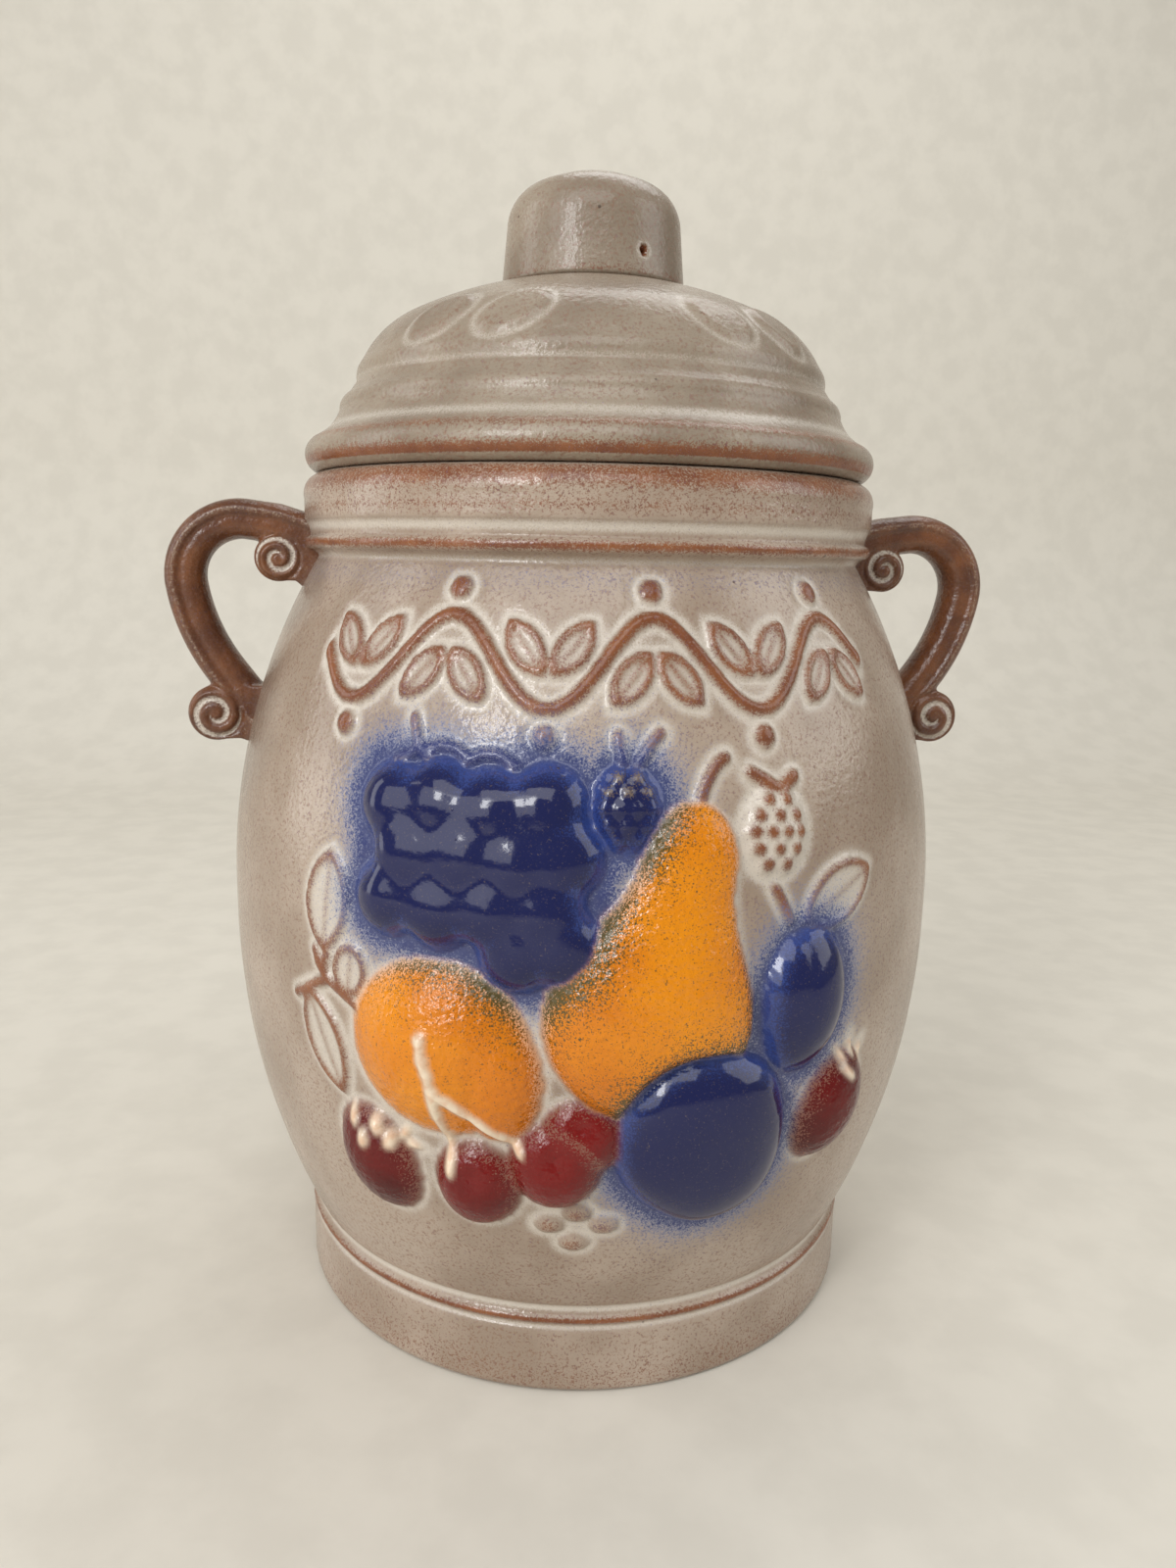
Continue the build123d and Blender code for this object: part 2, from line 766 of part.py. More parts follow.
write("crock", crock())
write("handle_left", handle(-1, crock_block))
write("handle_right", handle(1, crock_block))
write("lid", lid_shell())
write("lid_knob", knob())
write("lid_relief_ovals", lid_ovals())

peach_spec = (*peach_place, peach_height, peach_width, peach_relief)
large_plum_spec = (*large_plum_place, large_plum_length, large_plum_width, large_plum_relief)
small_plum_spec = (*small_plum_place, small_plum_length, small_plum_width, small_plum_relief)
grape_specs = [(*place, 0, grape_diameter, grape_diameter, grape_relief) for place in grape_places]
cherry_specs = [(*place, 0, cherry_diameter, cherry_diameter, cherry_relief) for place in cherry_places]
strawberry_size = (strawberry_length, strawberry_width, strawberry_relief)
left_strawberry_spec = (*left_strawberry_place, *strawberry_size)
right_strawberry_spec = (*right_strawberry_place, *strawberry_size)
bramble_spec = (*bramble_place, bramble_height, bramble_width, bramble_relief)
raspberry_spec = (*raspberry_place, raspberry_height, raspberry_width, raspberry_relief)

peach = wall_dome(*peach_spec)
pear = wall_place(*pear_place[:2]) * Rot(0, 0, -pear_place[2]) * pear_blank()
large_plum = wall_dome(*large_plum_spec)
small_plum = wall_dome(*small_plum_spec)
grapes = [wall_dome(*spec) for spec in grape_specs]
cherries = [wall_dome(*spec) for spec in cherry_specs]
left_strawberry = wall_dome(*left_strawberry_spec)
right_strawberry = wall_dome(*right_strawberry_spec)
bramble = berry(bramble_spec)
raspberry = berry(raspberry_spec)
currant_size = (currant_height, currant_width, currant_relief)
currants = [wall_dome(*place, 0, *currant_size) for place in currant_places]

write("peach", less(peach, wall_block))
write("pear", less(pear, wall_block, large_plum, peach))
write("plum_large", less(large_plum, wall_block))
write("plum_small", less(small_plum, wall_block, pear, large_plum))
write("grape_bunch", less(fused([grape - wall_block for grape in grapes]), peach, pear))
write("bramble", grouped([less(piece, pear, *grapes) for piece in bramble]))
write("raspberry", grouped([less(piece, pear) for piece in raspberry]))
cut_cherries = [
    less(cherries[0], wall_block, peach),
    less(cherries[1], wall_block, peach, large_plum, cherries[0]),
    less(cherries[2], wall_block, peach, large_plum, pear, cherries[1]),
]
write("cherries", grouped(cut_cherries))
write("strawberry_left", less(left_strawberry, wall_block, peach, cherries[0]))
write("strawberry_right", less(right_strawberry, wall_block, large_plum, small_plum))
write("currants", grouped([currant - wall_block for currant in currants]))

write("pear_stem", less(stems(pear_stem_runs, stem_radius), wall_block, pear))
write("grape_stem", less(stems(grape_stem_runs, stem_radius), wall_block))
write("bramble_leaves", less(stems(bramble_leaf_runs, stem_radius), wall_block, *bramble))
write("raspberry_leaves", less(stems(raspberry_leaf_runs, stem_radius), wall_block, *raspberry))
raspberry_stem = stems(raspberry_stem_runs, stem_radius, small_plum_spec)
write("raspberry_stem", less(raspberry_stem, wall_block, small_plum))
cherry_stems = stems(cherry_stem_runs, cherry_stem_radius, peach_spec, *cherry_specs[:2])
write("cherry_stems", less(cherry_stems, wall_block, peach, *cherries))
left_sepals = sepals(left_sepal_places, left_strawberry_spec)
write("strawberry_left_sepals", grouped([sepal - peach for sepal in left_sepals]))
right_sepals = sepals(right_sepal_places, right_strawberry_spec)
write("strawberry_right_sepals", grouped([sepal - small_plum for sepal in right_sepals]))
left_twigs = stems(left_twig_runs, stem_radius)
write("twig_left", less(left_twigs, wall_block, peach))
left_leaves = [leaf(*place, leaf_skin) for place in left_leaf_places]
in_front = (peach, left_twigs, left_strawberry, *left_sepals)
write("leaves_left", grouped([less(shape, *in_front) for shape in left_leaves]))
write("leaf_right", less(leaf(*leaf_right_place, leaf_skin), small_plum))

garland_stem = garland_band()
write("garland_stem", grouped([garland_stem & garland_skin]))
write("garland_leaves", garland_leaves(garland_stem))
write("garland_berries", garland_berries())
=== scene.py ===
import math
import bpy
import numpy as np
from mathutils import Matrix, Vector


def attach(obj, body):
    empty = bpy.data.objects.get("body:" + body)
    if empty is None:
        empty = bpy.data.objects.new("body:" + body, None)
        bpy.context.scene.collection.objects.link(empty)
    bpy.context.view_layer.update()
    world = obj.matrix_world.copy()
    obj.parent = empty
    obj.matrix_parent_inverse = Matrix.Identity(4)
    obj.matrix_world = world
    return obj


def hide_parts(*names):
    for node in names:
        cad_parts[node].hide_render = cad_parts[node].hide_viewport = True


# The looks of a lidded stoneware crock with raised fruit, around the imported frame.
# Lengths are millimetres until a mesh is made, angles are degrees. A place on the wall is an angle
# from -Y, positive towards +X, and a height above the foot.

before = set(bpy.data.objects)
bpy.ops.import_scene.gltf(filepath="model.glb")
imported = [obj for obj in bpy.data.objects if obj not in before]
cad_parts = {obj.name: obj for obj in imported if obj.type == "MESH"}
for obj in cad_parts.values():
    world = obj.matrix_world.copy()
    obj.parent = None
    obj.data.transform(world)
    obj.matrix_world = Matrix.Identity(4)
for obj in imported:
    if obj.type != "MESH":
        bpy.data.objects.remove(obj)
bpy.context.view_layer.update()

MM = 0.001

# Crock, as in the frame
belly_radius = 96.8
belly_low = 107.0
belly_high = 115.0
neck_radius = 73.0
neck_height = 201.0
base_radius = 78.25
base_top = 24.1
wall_thickness = 7.0
mouth_radius = 65.6
relief_low = 36.0
relief_high = 199.0
relief_left = -54.0
relief_right = 46.0
fine_step = 0.75
pocket_depth = 1.1
seat_depth = 0.9

# How far a distance starts from anything, before the nearest thing is found
far = 50.0
# Height of whatever isn't there, below the wall
sunk = -3.0
# Glazes that cover the stoneware, each a mark of its own
colours = ("orange", "blue", "red", "cream")


def arc_radius(rise, half):
    """Radius of the arc that rises by rise over half of its chord."""
    return (rise**2 + half**2) / (2 * rise)


def rotated(point, turn):
    """A pair of values turned by an angle in radians."""
    x, y = point
    return x * math.cos(turn) - y * math.sin(turn), x * math.sin(turn) + y * math.cos(turn)


def unit(vectors):
    """Vectors brought to a length of one."""
    return vectors / np.maximum(np.linalg.norm(vectors, axis=-1, keepdims=True), 1e-9)


lower_arc = arc_radius(belly_radius - base_radius, belly_low - base_top)
upper_arc = arc_radius(belly_radius - neck_radius, neck_height - belly_high)


def wall_radius(height):
    """Radius of the belly at a height."""
    height = np.asarray(height, float)
    arc = np.where(height < belly_low, lower_arc, upper_arc)
    rise = height - np.clip(height, belly_low, belly_high)
    return belly_radius - arc + np.sqrt(np.maximum(arc**2 - rise**2, 1.0))


# Outlines and grids

def sampled(start, stretches):
    """Points along an outline. Each stretch is an end, the share by which it bows out, and a step."""
    points = [start]
    here = np.array(start, float)
    for end, bow_share, step in stretches:
        end = np.array(end, float)
        chord = end - here
        length = float(np.hypot(*chord))
        count = max(int(round(length / step)), 1)
        along = np.linspace(0, 1, count + 1)[1:]
        if bow_share:
            bow = bow_share * length
            out = np.array([chord[1], -chord[0]]) / length
            centre = (here + end) / 2 + out * (bow - arc_radius(bow, length / 2))
            first = here - centre
            last = end - centre
            sweep = math.atan2(first[0] * last[1] - first[1] * last[0], first @ last)
            points += [tuple(centre + rotated(first, sweep * share)) for share in along]
        else:
            points += [tuple(here + chord * share) for share in along]
        here = end
    return np.array(points)


def columns(fine_low, fine_high, fine_angle, coarse_angle):
    """Angles round the pot, fine between two angles and coarse elsewhere, open at the seam."""
    fine = np.linspace(fine_low, fine_high, int(round((fine_high - fine_low) / fine_angle)) + 1)
    rest = 360 - (fine_high - fine_low)
    count = max(int(round(rest / coarse_angle)), 1)
    coarse = fine_high + rest * np.arange(1, count) / count
    return np.concatenate([fine, coarse])


def grid_positions(radius, height, angle):
    """Positions from arrays of radius, height and angle."""
    turn = np.radians(angle)
    return np.stack([radius * np.sin(turn), -radius * np.cos(turn), height], -1)


def grid_normals(positions):
    """Normals of a grid of rows by columns that closes round its columns."""
    across = np.roll(positions, -1, 1) - np.roll(positions, 1, 1)
    down = np.empty_like(positions)
    down[1:-1] = positions[2:] - positions[:-2]
    down[0] = positions[1] - positions[0]
    down[-1] = positions[-1] - positions[-2]
    return unit(np.cross(down, across))


def grid_faces(rows, cols):
    """Quads of a grid that closes round its columns, as indices into the flattened grid."""
    i, j = np.meshgrid(np.arange(rows - 1), np.arange(cols), indexing="ij")
    k = (j + 1) % cols
    return np.stack([i * cols + j, (i + 1) * cols + j, (i + 1) * cols + k, i * cols + k], -1)


def border_edges(faces):
    """Directed edges of quads that no other quad shares, as pairs of indices."""
    edges = np.concatenate([faces[:, [a, (a + 1) % 4]] for a in range(4)])
    big = int(edges.max()) + 1
    keys = edges[:, 0].astype(np.int64) * big + edges[:, 1]
    back = edges[:, 1].astype(np.int64) * big + edges[:, 0]
    return edges[~np.isin(keys, back)]


def make_piece(name, positions, faces, normals, marks, material):
    """Mesh object from positions in millimetres, quads, a normal for each face corner and marks."""
    used, index = np.unique(faces, return_inverse=True)
    index = index.reshape(faces.shape)
    mesh = bpy.data.meshes.new(name)
    mesh.from_pydata((positions[used] * MM).tolist(), [], index.tolist())
    mesh.polygons.foreach_set("use_smooth", np.ones(len(faces), bool))
    for mark, values in marks.items():
        layer = mesh.attributes.new(mark, "FLOAT", "POINT")
        layer.data.foreach_set("value", values[used].astype(np.float32))
    mesh.normals_split_custom_set(normals.reshape(-1, 3).tolist())
    mesh.materials.append(material)
    piece = bpy.data.objects.new(name, mesh)
    bpy.context.scene.collection.objects.link(piece)
    return piece


def flat_normals(positions, faces):
    """Face normals repeated for the four corners."""
    a, b, c, d = (positions[faces[:, n]] for n in range(4))
    return np.repeat(unit(np.cross(c - a, d - b))[:, None], 4, 1)


def patch(name, top, low, normals, faces, marks, material):
    """Closed piece from some quads of a grid: their top, a lower copy and the sides between."""
    count = len(top)
    positions = np.concatenate([top, low])
    near, far_end = border_edges(faces).T
    sides = np.stack([far_end, near, near + count, far_end + count], -1)
    under = faces[:, ::-1] + count
    every = np.concatenate([faces, under, sides])
    corner = np.concatenate([normals[faces], -normals[under - count], flat_normals(positions, sides)])
    both = {mark: np.concatenate([values, values]) for mark, values in marks.items()}
    return make_piece(name, positions, every, corner, both, material)


def seated(name, top, low, normals, faces, taken, marks, material):
    """Piece from a whole grid whose taken quads are let in as pockets for other pieces."""
    count = len(top)
    positions = np.concatenate([top, low])
    kept = faces[~taken]
    floor = faces[taken] + count
    near, far_end = border_edges(faces[taken]).T
    sides = np.stack([far_end + count, near + count, near, far_end], -1)
    every = np.concatenate([kept, floor, sides])
    corner = np.concatenate([normals[kept], normals[floor - count], flat_normals(positions, sides)])
    both = {mark: np.concatenate([values, values]) for mark, values in marks.items()}
    return make_piece(name, positions, every, corner, both, material)


# Relief on the wall: places, as in the frame
pear_place = (2.8, 104.8, 13.5)
pear_bulb = 23.5
pear_neck_half = 11.0
pear_neck_reach = 34.0
pear_tip_reach = 48.0
pear_relief = 8.4
pear_neck_relief = 4.4
peach_domes = ((-25.2, 95.6, 0, 42.0, 44.5, 7.5), (-17.6, 91.5, -8, 34.0, 22.5, 6.0))
large_plum_outline = (
    (10, 97), (16, 96), (21, 90), (24, 76), (22, 58), (12, 51), (4, 57), (-1.5, 68), (-1.5, 81), (1, 89),
    (5, 95),
)
large_plum_relief = 8.0
large_plum_edge = 17.0
small_plum_domes = ((25.3, 105.2, 8, 34.5, 23.5, 6.5), (23.0, 106.5, 4, 29.0, 16.5, 5.9))
cherry_domes = (
    (-5.6, 76.8, 0, 20.0, 20.0, 5.2), (-9.3, 69.4, 0, 23.4, 21.6, 6.4), (-20.3, 62.7, 0, 23.0, 20.6, 6.3),
)
left_strawberry = (-36.0, 63.9, -22, 29.0, 21.0, 6.0)
right_strawberry = (32.4, 75.9, 22, 29.0, 21.0, 6.0)
bramble = (-0.8, 150.3, 0, 18.0, 15.0, 2.2)
raspberry = (19.9, 144.3, 4, 19.5, 16.8, 1.6)
drupelet_rows = ((0.8, 2), (0.42, 3), (0.02, 4), (-0.4, 3), (-0.78, 2))
drupelet_radius = 2.15
drupelets_beyond = 0.6
plum_crease = ((13.0, 94.0), (16.5, 92.5), (19.5, 88.0), (21.0, 82.0))
grape_radius = 8.9
grape_relief = 6.1
grape_places = (
    (-32.2, 149.4), (-25.4, 151.0), (-18.2, 149.6), (-11.0, 150.6),
    (-28.8, 139.8), (-21.4, 140.2), (-14.4, 139.0), (-8.8, 140.0),
    (-32.0, 129.0), (-24.8, 127.6), (-17.6, 128.4), (-10.8, 128.6),
    (-14.2, 119.6), (-8.2, 120.8),
)
grape_pad = 5.0
grape_pad_edge = 6.0
grape_pad_inset = 3.2
grape_outline = (
    (-38, 150), (-36, 159), (-29, 160), (-20, 158), (-11, 161), (-6, 155), (-5, 138), (-3, 126),
    (-6, 113), (-12, 110), (-19, 119), (-31, 119), (-37, 126), (-36, 139),
)
currants = ((-10.2, 52.4), (-6.2, 56.0), (-2.2, 52.4), (-6.6, 47.0))
currant_shape = (90, 7.6, 5.6, 1.4)
stem_runs = {
    "grape_stem": (1.25, 1.3, (
        ((-30.9, 167.5), (-30.2, 164.0), (-29.5, 161.4), (-30.6, 159.6), (-32.6, 158.6)),
        ((-29.5, 161.4), (-28.2, 159.6), (-27.0, 159.0)),
        ((-28.6, 160.9), (-26.0, 162.0), (-23.6, 161.4), (-21.9, 159.2)),
        ((-21.9, 159.2), (-20.0, 160.9), (-17.6, 160.6), (-15.4, 158.4)),
    )),
    "bramble_leaves": (1.4, 1.2, (
        ((-1.9, 165.3), (-1.3, 160.2)),
        ((3.9, 165.9), (2.6, 163.8), (0.6, 159.2)),
    )),
    "pear_stem": (1.5, 1.5, (((12.9, 160.6), (11.8, 159.6), (10.4, 156.8), (9.2, 152.6)),)),
    "raspberry_leaves": (1.7, 1.1, (
        ((16.8, 157.2), (18.6, 155.6), (20.2, 154.0)),
        ((21.6, 153.8), (23.2, 155.4), (23.6, 156.0)),
    )),
    "raspberry_stem": (1.3, 1.1, (((19.6, 132.2), (20.6, 129.4), (22.0, 124.6)),)),
    "twig_left": (1.3, 1.2, (
        ((-45.1, 113.2), (-44.4, 109.6), (-42.6, 106.4), (-40.9, 104.9), (-36.8, 101.4)),
        ((-49.5, 100.4), (-46.4, 103.4), (-43.0, 106.2)),
        ((-42.6, 113.4), (-43.2, 110.4), (-43.4, 108.0)),
    )),
    "cherry_stems": (1.0, 1.5, (
        ((-25.5, 101.0), (-25.2, 97.0), (-24.4, 92.0), (-24.3, 88.0), (-24.0, 78.0), (-23.2, 68.0)),
        ((-24.2, 89.5), (-21.3, 85.0), (-17.5, 79.5), (-13.8, 74.5)),
    )),
}
leaf_places = {
    "leaves_left": (
        (-42.8, 125.0, 5, 24.5, 14.0), (-38.6, 110.0, 8, 13.5, 10.5), (-44.0, 91.0, -22, 28.0, 12.5),
    ),
    "leaf_right": ((30.8, 128.6, 66, 25.0, 14.0),),
}
left_sepals = (
    (-38.6, 75.4, -40), (-36.4, 71.8, -20), (-34.8, 74.6, -35), (-32.6, 71.4, -15), (-30.8, 73.0, 30),
    (-29.6, 69.8, -70),
)
right_sepals = ((32.6, 89.4, -30), (35.2, 90.0, 5), (37.6, 87.6, 35), (33.2, 85.6, -50))
sepal_half = (1.0, 2.1)

# Garland
garland_start = -51.0
garland_end = 43.0
garland_half_waves = 6
garland_middle = 179.8
garland_wave = 9.5
garland_half_width = 1.6
garland_relief = 1.25
garland_leaf = (15.0, 8.0)
garland_leaf_spread = 6.0
garland_leaf_drop = 12.5
garland_leaf_tilt = 38.0
garland_berry_radius = 2.8
garland_berry_away = 5.6


def local(angle, height, middle_angle, middle_height, tilt=0.0):
    """Millimetres across and along a motif from its middle."""
    reach = float(wall_radius(middle_height))
    across = np.radians(angle - middle_angle) * reach
    return rotated((across, height - middle_height), math.radians(tilt))


def ellipsoid(angle, height, spec):
    """Height of a sunk ellipsoid above the wall, negative outside it, and its edge distance."""
    middle_angle, middle_height, tilt, length, width, relief = spec
    aside, along = local(angle, height, middle_angle, middle_height, tilt)
    half_width = width / 2
    half_length = length / 2
    short = arc_radius(relief, half_width)
    sink = short - relief
    stretched = along * half_width / half_length
    inside = short**2 - aside**2 - stretched**2
    rise = np.sqrt(np.maximum(inside, 0)) - sink
    ring = np.hypot(aside / half_width, along / half_length)
    slope = np.hypot(aside / half_width**2, along / half_length**2)
    edge = ring * (ring - 1) / np.maximum(slope, 1e-6)
    return np.where(inside > 0, rise, -sink), np.where(ring < 0.02, -half_width, edge)


def smooth_top(first, second, reach):
    """The higher of two heights, blended where they are close."""
    near = np.maximum(reach - np.abs(first - second), 0)
    return np.maximum(first, second) + near**2 / (4 * reach)


def run_distance(angle, height, run):
    """Distance to a line of places on the wall."""
    best = np.full(angle.shape, 20 * far)
    for (angle_a, height_a), (angle_b, height_b) in zip(run, run[1:]):
        reach = float(wall_radius((height_a + height_b) / 2))
        x = np.radians(angle - angle_a) * reach
        y = height - height_a
        run_x = math.radians(angle_b - angle_a) * reach
        run_y = height_b - height_a
        share = np.clip((x * run_x + y * run_y) / (run_x**2 + run_y**2), 0, 1)
        best = np.minimum(best, np.hypot(x - run_x * share, y - run_y * share))
    return best


def rounded(outline, rounds=2):
    """Closed outline with its corners cut, again and again."""
    for _ in range(rounds):
        cut = []
        for (x, y), (next_x, next_y) in zip(outline, outline[1:] + outline[:1]):
            cut.append((0.75 * x + 0.25 * next_x, 0.75 * y + 0.25 * next_y))
            cut.append((0.25 * x + 0.75 * next_x, 0.25 * y + 0.75 * next_y))
        outline = tuple(cut)
    return outline


def outline_distance(angle, height, outline):
    """Distance to a closed outline on the wall, negative inside it."""
    outline = rounded(outline)
    closed = outline + outline[:1]
    inside = np.zeros(angle.shape, bool)
    for (angle_a, height_a), (angle_b, height_b) in zip(closed, closed[1:]):
        crosses = (height_a > height) != (height_b > height)
        share = (height - height_a) / (height_b - height_a if height_b != height_a else 1.0)
        inside ^= crosses & (angle < angle_a + share * (angle_b - angle_a))
    distance = run_distance(angle, height, closed)
    return np.where(inside, -distance, distance)


def ridge(distance, half_width, relief):
    """Round ridge over a distance from its line."""
    return relief * np.sqrt(np.maximum(1 - (distance / half_width) ** 2, 0))


def leaf_distance(angle, height, middle_angle, middle_height, tilt, length, width):
    """Edge distance of a pointed leaf, negative inside, and the place across and along it."""
    aside, along = local(angle, height, middle_angle, middle_height, tilt)
    half_width = width / 2
    half_length = length / 2
    radius = arc_radius(half_width, half_length)
    return np.hypot(np.abs(aside) + radius - half_width, along) - radius, aside, along


def bump(values, middle, spread):
    """Bell curve."""
    return np.exp(-(((values - middle) / spread) ** 2))


def eased(values, low, high):
    """Smooth step from 0 at low to 1 at high."""
    t = np.clip((values - low) / (high - low), 0, 1)
    return t * t * (3 - 2 * t)


def softened(values, rounds):
    """Values blurred a little over the grid."""
    for _ in range(rounds):
        values = (np.roll(values, 1, 1) + 2 * values + np.roll(values, -1, 1)) / 4
        inner = (values[:-2] + 2 * values[1:-1] + values[2:]) / 4
        values = np.concatenate([values[:1], inner, values[-1:]])
    return values


def pear_height(angle, height):
    """Height and edge distance of the pear."""
    aside, along = local(angle, height, *pear_place)
    low = np.sqrt(np.clip(1 - (along / pear_bulb) ** 2, 0, 1))
    blend = (np.cos(np.pi * np.clip(along / pear_neck_reach, 0, 1)) + 1) / 2
    past_neck = (along - pear_neck_reach) / (pear_tip_reach - pear_neck_reach)
    tip = np.sqrt(np.clip(1 - past_neck**2, 0, 1))
    middle_half = pear_neck_half + (pear_bulb - pear_neck_half) * blend
    middle_relief = pear_neck_relief + (pear_relief - pear_neck_relief) * blend
    in_neck = along < pear_neck_reach
    half = np.where(along < 0, pear_bulb * low, np.where(in_neck, middle_half, pear_neck_half * tip))
    end = np.where(along < 0, low, np.where(in_neck, 1, tip))
    share = np.abs(aside) / np.maximum(half, 0.01)
    rise = middle_relief * end * np.sqrt(np.clip(1 - share**2, 0, 1))
    outside = (share >= 1) | (half < 0.01)
    edge = np.where(outside, np.maximum(np.abs(aside) - half, 0), -(1 - share) * half)
    beyond = np.maximum(np.maximum(-along - pear_bulb, along - pear_tip_reach), 0)
    distance = np.hypot(edge * (edge > 0), beyond) + np.minimum(edge, 0) * (beyond == 0)
    return np.where(outside, -1.0, rise), distance


def garland_angle(half_waves):
    """Angle after that many half waves."""
    return garland_start + (garland_end - garland_start) * half_waves / garland_half_waves


def berry(angle, height, spec, relief):
    """Height and edge distance of a berry with its drupelets, and the height that they add."""
    middle_angle, middle_height, tilt, length, width, _ = spec
    aside, along = local(angle, height, middle_angle, middle_height, tilt)
    added = np.zeros(angle.shape)
    for up_share, count in drupelet_rows:
        span = math.sqrt(1 - up_share**2) * width / 2 * 0.92
        for n in range(count):
            across = span * (2 * n / (count - 1) - 1) * (count - 1) / count
            distance = np.hypot(aside - across, along - up_share * length / 2 * 0.9)
            added = np.maximum(added, ridge(distance, drupelet_radius, relief))
    dome, rim = ellipsoid(angle, height, spec)
    rise = np.where(rim < drupelets_beyond, np.maximum(dome, 0.15) + added, 0)
    return rise, rim - drupelets_beyond, added


def relief_on(angle, height):
    """Height above the wall, owner and marks of the relief over arrays of angle and height."""
    owners = ["crock"]
    total = np.zeros(angle.shape)
    owner = np.zeros(angle.shape, int)
    edge = np.full(angle.shape, far)
    marks = {key: np.zeros(angle.shape) for key in (*colours, "brown", "pool")}

    def lay(name, rise, distance, colour, brown=0.0):
        nonlocal total, owner, edge
        owners.append(name)
        over = (rise > total) & (rise > 0.1)
        total = np.where(over, rise, total)
        owner = np.where(over, len(owners) - 1, owner)
        edge = np.where(over, distance, edge)
        for key in colours:
            marks[key] = np.where(over, 1.0 if key == colour else 0.0, marks[key])
        marks["brown"] = np.where(over, brown, marks["brown"])
        near = bump(np.maximum(distance, 0), 0, 1.9) * (owner == 0)
        marks["pool"] = np.maximum(marks["pool"], near)
        return over

    def lay_leaves(name, places, floor, rim_place, rim_rise, vein_rise, vein_brown, vein_reach, white):
        """Leaves with a raised rim and vein. The vein's rise and brown each have a height and a spread."""
        rise = np.zeros(angle.shape)
        distance = np.full(angle.shape, far)
        brown = np.zeros(angle.shape)
        for place in places:
            rim, aside, along = leaf_distance(angle, height, *place)
            inside = rim < 0
            on_vein = np.abs(along) < place[3] * vein_reach
            vein = vein_rise[0] * bump(aside, 0, vein_rise[1]) * on_vein
            vein_edge = vein_brown[0] * bump(aside, 0, vein_brown[1]) * on_vein
            here = floor + rim_rise * bump(rim, rim_place, 0.75) + vein
            rise = np.where(inside, np.maximum(rise, here), rise)
            brown = np.where(inside, np.maximum(bump(rim, rim_place, 0.8), vein_edge), brown)
            distance = np.minimum(distance, rim)
        over = lay(name, rise, distance, "", brown)
        marks["pool"] = np.where(over, white * (1 - brown), marks["pool"])

    # Low pieces first
    for name, places in leaf_places.items():
        lay_leaves(name, places, floor=0.3, rim_place=-1.0, rim_rise=0.95, vein_rise=(0.35, 0.55),
                   vein_brown=(0.6, 0.55), vein_reach=0.42, white=0.75)

    distance = garland_stem_distance(angle, height)
    rise = ridge(np.maximum(distance + garland_half_width, 0), garland_half_width, garland_relief)
    lay("garland_stem", rise, distance, "", 0.25 + 0.75 * eased(rise, 0.5, 1.15))
    distance = garland_berry_distance(angle, height)
    rise = garland_relief * np.sqrt(np.clip(1 - (1 + distance / garland_berry_radius) ** 2, 0, 1))
    rise = np.where(distance < 0, rise, 0)
    lay("garland_berries", rise, distance, "", 0.25 + 0.75 * eased(rise, 0.5, 1.15))
    lay_leaves("garland_leaves", garland_leaf_list(), floor=0.45, rim_place=-0.9, rim_rise=0.75,
               vein_rise=(0.3, 0.5), vein_brown=(0.7, 0.6), vein_reach=1.0, white=0.6)

    rise = np.zeros(angle.shape)
    distance = np.full(angle.shape, far)
    for place in currants:
        dome, rim = ellipsoid(angle, height, (*place, *currant_shape))
        rise = np.maximum(rise, dome)
        distance = np.minimum(distance, rim)
    lay("currants", rise, distance, "", 0.55 * eased(rise, 0.6, 1.3))

    for name, (half_width, relief, runs) in stem_runs.items():
        if name == "cherry_stems":
            continue
        line = np.minimum.reduce([run_distance(angle, height, run) for run in runs])
        rise = ridge(line, half_width, relief)
        lay(name, rise, line - half_width, "", 0.2 + 0.8 * eased(rise, 0.45 * relief, 0.95 * relief))

    rise, distance, added = berry(angle, height, raspberry, 1.5)
    over = lay("raspberry", rise, distance, "", eased(added, 0.95, 1.4))
    marks["pool"] = np.where(over, 1 - eased(added, 0.8, 1.3), marks["pool"])

    # Fruit from the back to the front
    distance = outline_distance(angle, height, grape_outline) + grape_pad_inset
    fruit = grape_pad * np.sqrt(np.clip(1 - np.clip(1 + distance / grape_pad_edge, 0, 1) ** 2, 0, 1))
    fruit = np.where(distance < 0, fruit, sunk)
    for place in grape_places:
        spec = (*place, 0, 2 * grape_radius, 2 * grape_radius, grape_relief - 0.6)
        dome, rim = ellipsoid(angle, height, spec)
        fruit = smooth_top(fruit, dome, 3.0)
        distance = np.minimum(distance, rim)
    fruit = softened(np.where(distance < 0, fruit, 0.0), 3)
    fruit = np.where(distance < 0, np.minimum(fruit, grape_relief + 0.1), sunk)
    lay("grape_bunch", fruit, distance, "blue")

    rise, distance, added = berry(angle, height, bramble, 1.7)
    over = lay("bramble", rise, distance, "blue")
    tips = eased(added, 1.2, 1.6) * (local(angle, height, *bramble[:2])[1] > 2.5)
    marks["brown"] = np.where(over, 0.8 * tips, marks["brown"])

    def lay_domes(name, first, second, colour):
        dome, rim = ellipsoid(angle, height, first)
        other_dome, other_rim = ellipsoid(angle, height, second)
        lay(name, smooth_top(dome, other_dome, 0.5), np.minimum(rim, other_rim), colour)

